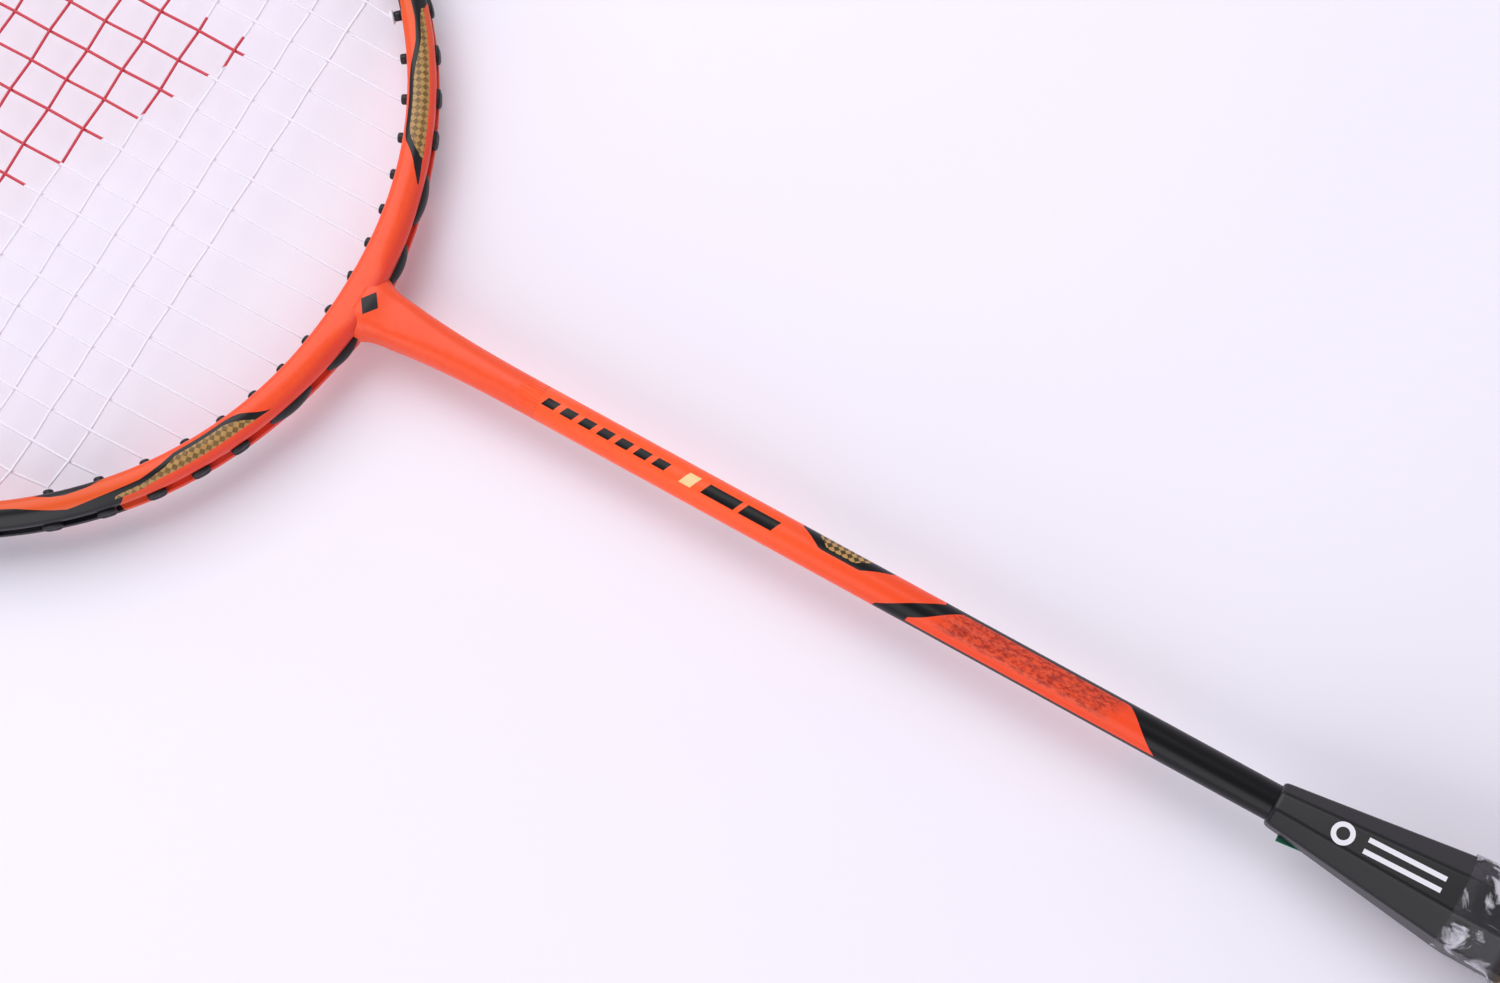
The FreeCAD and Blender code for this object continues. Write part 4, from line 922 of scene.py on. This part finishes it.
sections = []
for y, trim in ((CONE_TOP, 1.3), (CONE_TOP - .12, .6), (CONE_TOP - .45, .15), (CONE_TOP - 1, 0),
                (CONE_TOP - 14, 0), (CONE_TOP - 28, 0), (CONE_BASE_Y + 1.2, 0)):
    share = (CONE_TOP - y) / (CONE_TOP - CONE_BASE_Y)
    sections.append((y, octagon(CONE_SMALL + (CONE_WIDE - CONE_SMALL) * share - trim,
                                CONE_SMALL + (CONE_DEEP - CONE_SMALL) * share - trim, .7)))
for y in (CONE_BASE_Y - .8, SKIRT_END + 4, SKIRT_END):
    sections.append((y, octagon(CONE_WIDE, CONE_DEEP, .7)))
abs_black = new_material("satin_moulded_black_abs")
place = add(abs_black, "TexCoord").outputs["Object"]
grit = add(abs_black, "TexNoise", {0: place, "Scale": 3000, "Detail": 2})
shade = add(abs_black, "Mix", {0: grit, 6: linear("0a080c"), 7: linear("100d13")}, data_type="RGBA")
axes = add(abs_black, "SeparateXYZ", {0: place})
from_middle = add(abs_black, "Math", {0: axes.outputs[0]}, operation="ABSOLUTE")
from_middle = add(abs_black, "Math", {0: from_middle, 1: -LINE_PLACE * MM}, operation="ADD")
from_line = add(abs_black, "Math", {0: from_middle}, operation="ABSOLUTE")
width = add(abs_black, "Math", {0: from_line, 1: LINE_HALF * MM}, operation="LESS_THAN")
length = between(abs_black, axes.outputs[1], *[end * MM for end in LINE_ENDS])
lines = add(abs_black, "Math", {0: width, 1: length}, operation="MULTIPLY")
centre = add(abs_black, "CombineXYZ", {0: axes.outputs[0], 1: axes.outputs[1]})
reach = add(abs_black, "VectorMath", {0: centre, 1: (0, RING_Y * MM, 0)}, operation="DISTANCE")
ring = between(abs_black, reach, *[radius * MM for radius in RING_RADII])
printed = add(abs_black, "Math", {0: lines, 1: ring}, operation="MAXIMUM")
front = add(abs_black, "Math", {0: axes.outputs[2], 1: PRINT_FLOOR * MM}, operation="GREATER_THAN")
printed = add(abs_black, "Math", {0: printed, 1: front}, operation="MULTIPLY")
shade = add(abs_black, "Mix", {0: printed, 6: shade, 7: linear("dfdde6")}, data_type="RGBA")
spark = add(abs_black, "Bump", {"Strength": .12, "Distance": .0001, "Height": grit})
surface(abs_black, {"Base Color": shade, "Normal": spark, "Roughness": .34, "IOR": 1.53,
                    "Specular IOR Level": .3})
made = make_piece("cone_cap_moulded", *loft(sections), abs_black, "cone_plastic")
keep_flats(made)
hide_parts("cone_cap")

# ------------------------------------------------------- label on the cone
# A small green paper sticker on the cone's lower left face, near its tip.
paper = mottled("matt_green_paper_label", "TexNoise", {"Scale": 1800, "Detail": 3},
                ("2f8a68", "3b9a77"), {"Roughness": .7})
finish_node("cone_label", paper)

# ------------------------------------------------------------- handle core
# Under the grip is an eight-sided core of beech, glued round the shaft.
beech = new_material("planed_beech")
place = add(beech, "TexCoord").outputs["Object"]
stretch = add(beech, "Mapping", {0: place, 3: (1, .06, 1)})
grain = add(beech, "TexNoise", {0: stretch, "Scale": 700, "Detail": 4})
shade = add(beech, "Mix", {0: grain, 6: linear("c79a6b"), 7: linear("e0bd90")}, data_type="RGBA")
surface(beech, {"Base Color": shade, "Roughness": .6})
finish_node("handle_core", beech)
epoxy = mottled("cured_epoxy", "TexNoise", {"Scale": 300, "Detail": 2}, ("b89a5a", "c9ad70"),
                {"Roughness": .2})
finish_node("shaft_glue", epoxy)
steel = mottled("bright_steel_tack", "TexNoise", {"Scale": 2500, "Detail": 2},
                ("a4a6a8", "c2c4c6"), {"Metallic": 1, "Roughness": .3})
finish_node("grip_tack", steel)

# --------------------------------------------------------------- grip tape
# Black tacky PU tape wound up the handle from the butt; each turn laps a little
# over the one below.  Fine pores in rows let it breathe.
CORE_WIDTH, CORE_DEPTH, FLARE_TOP, FLARE_EXTRA = 20.8, 22.2, 26.0, 4.4
CAP_TOP, WRAP_TOP = 3.0, 167.0
WRAP_THICKNESS, WRAP_PITCH = 1.7, 22.0
WRAP_STEP, LAP_RISE, TURN_RISE = .75, .27, .18


def handle_section(y, grow, radius=2.0):
    """Section of the core at a height, grown outward, with its butt flare."""
    flare = FLARE_EXTRA * max(0.0, (FLARE_TOP - y) / (FLARE_TOP - CAP_TOP))
    return octagon(CORE_WIDTH + flare + 2 * grow, CORE_DEPTH + flare + 2 * grow, radius)


sections, y = [], CAP_TOP
while y < WRAP_TOP - .2:
    base = handle_section(y, WRAP_THICKNESS - .45)
    ring = []
    for spot in base:
        turn = math.atan2(spot.y, spot.x) / (2 * math.pi)
        phase = ((y / WRAP_PITCH) + turn) % 1.0
        lap = max(0.0, min(1.0, (1 - phase) * WRAP_PITCH / .9)) * min(1.0, phase / .8 + .1)
        edge = math.exp(-((1 - phase) * WRAP_PITCH / 2.2) ** 2)
        rise = TURN_RISE * phase + LAP_RISE * lap * (.6 + .4 * edge)
        ring.append(spot + spot.normalized() * rise)
    sections.append((y, ring))
    y += WRAP_STEP
sections.insert(0, (CAP_TOP - .02, handle_section(CAP_TOP, WRAP_THICKNESS - .9)))
sections.append((WRAP_TOP - .1, handle_section(WRAP_TOP, WRAP_THICKNESS - .8)))
tacky = new_material("tacky_black_pu_tape")
place = add(tacky, "TexCoord").outputs["Object"]
grit = add(tacky, "TexNoise", {0: place, "Scale": 1400, "Detail": 3})
shade = add(tacky, "Mix", {0: grit, 6: linear("101014"), 7: linear("1d1c22")}, data_type="RGBA")
pores = add(tacky, "TexVoronoi", {0: place, "Scale": 420})
pit = add(tacky, "MapRange", {0: pores.outputs["Distance"], 1: .0, 2: .28})
rough = add(tacky, "Math", {0: grit, 1: .15, 2: .5}, operation="MULTIPLY_ADD")
skin = add(tacky, "Bump", {"Strength": .5, "Distance": .0004, "Height": pit})
surface(tacky, {"Base Color": shade, "Normal": skin, "Roughness": rough})
made = make_piece("grip_wrap_wound", *loft(sections), tacky, "grip_tape")
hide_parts("grip_wrap")

# Black vinyl tape closes the grip's upper end, with faint lines round it.
vinyl = mottled("glossy_black_vinyl", "TexWave", {"Scale": 180, "Distortion": .4},
                ("121217", "1f1e26"), {"Roughness": .25}, own_place=True, bands_direction="Y")
finish_node("finishing_tape", vinyl)

# ---------------------------------------------------------------- butt cap
# A moulded cap closes the butt; a plain grey disc is pressed into it.
finish_node("butt_cap", abs_black)
disc_grey = mottled("satin_grey_abs_disc", "TexWave", {"Scale": 220, "Distortion": .2},
                    ("6d6f76", "83858c"), {"Roughness": .45}, relief=(.3, .0002),
                    own_place=True, wave_type="RINGS", rings_direction="Y")
finish_node("butt_disc", disc_grey)

# -------------------------------------------------------------- clear film
# A loose sleeve of thin clear polythene protects the new grip.  It is crinkled
# all over, and milky patches of painted highlight stand for its creases
# catching the light.
FILM_TOP, FILM_BOTTOM, FILM_REACH = 181.6, 4.3, 2.3
FILM_ROWS, FILM_CORNER, FILM_THICKNESS = 300, 2.6, .06
FILM_SLACK = 1.0
CREASE_SLACK, CREASE_DEPTH = .42, 1.3
sections = []
for row in range(FILM_ROWS + 1):
    y = FILM_BOTTOM + (FILM_TOP - FILM_BOTTOM) * row / FILM_ROWS
    if y < WRAP_TOP - 1:
        base = handle_section(y, FILM_REACH, FILM_CORNER)
    else:
        ease = min(1.0, (y - WRAP_TOP + 1) / 5.0)
        ease = ease * ease * (3 - 2 * ease)
        snug = max(0.0, (y - CONE_BASE_Y) / (CONE_TOP - CONE_BASE_Y))
        wide = CONE_WIDE - (CONE_WIDE - CONE_SMALL) * snug + FILM_SLACK
        deep = CONE_DEEP - (CONE_DEEP - CONE_SMALL) * snug + FILM_SLACK
        full = 2 * FILM_REACH
        base = octagon(CORE_WIDTH + full + (wide - CORE_WIDTH - full) * ease,
                       CORE_DEPTH + full + (deep - CORE_DEPTH - full) * ease, FILM_CORNER)
    ring = []
    for spot in base:
        where = Vector((spot.x * .16, y * .11, spot.y * .16))
        crease = abs(noise.noise(where)) + .5 * abs(noise.noise(where * 2.6))
        ring.append(spot + spot.normalized() * (CREASE_SLACK - CREASE_DEPTH * crease) * .6)
    sections.append((y, ring))
points = [Vector((x, y, z)) for y, ring in sections for x, z in ring]
faces = ring_faces(len(sections), len(sections[0][1]), False)
film = new_material("crinkled_clear_polythene")
place = add(film, "TexCoord").outputs["Object"]
patches = add(film, "TexNoise", {0: place, "Scale": 120, "Detail": 4, "Roughness": .6,
                                 "Distortion": .8})
# Milky patches of painted highlight, where the creases would catch the light.
painted_crease_highlight = add(film, "MapRange", {0: patches, 1: .55, 2: .66, 3: .015, 4: .62})
haze = add(film, "TexNoise", {0: place, "Scale": 60, "Detail": 2})
shade = add(film, "Mix", {0: haze, 6: linear("c9c6d2"), 7: linear("efedf5")}, data_type="RGBA")
folds = add(film, "TexNoise", {0: place, "Scale": 260, "Detail": 3, "Distortion": 1.5})
crinkle = add(film, "Bump", {"Strength": .8, "Distance": .0012, "Height": folds})
surface(film, {"Base Color": shade, "Normal": crinkle, "Alpha": painted_crease_highlight, "Roughness": .12, "IOR": 1.5,
               "Specular IOR Level": .4})
made = make_piece("grip_film_crinkled", points, faces, film, "clear_film")
sheet_wall = made.modifiers.new("film_thickness", "SOLIDIFY")
sheet_wall.thickness = FILM_THICKNESS * MM
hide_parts("grip_film")
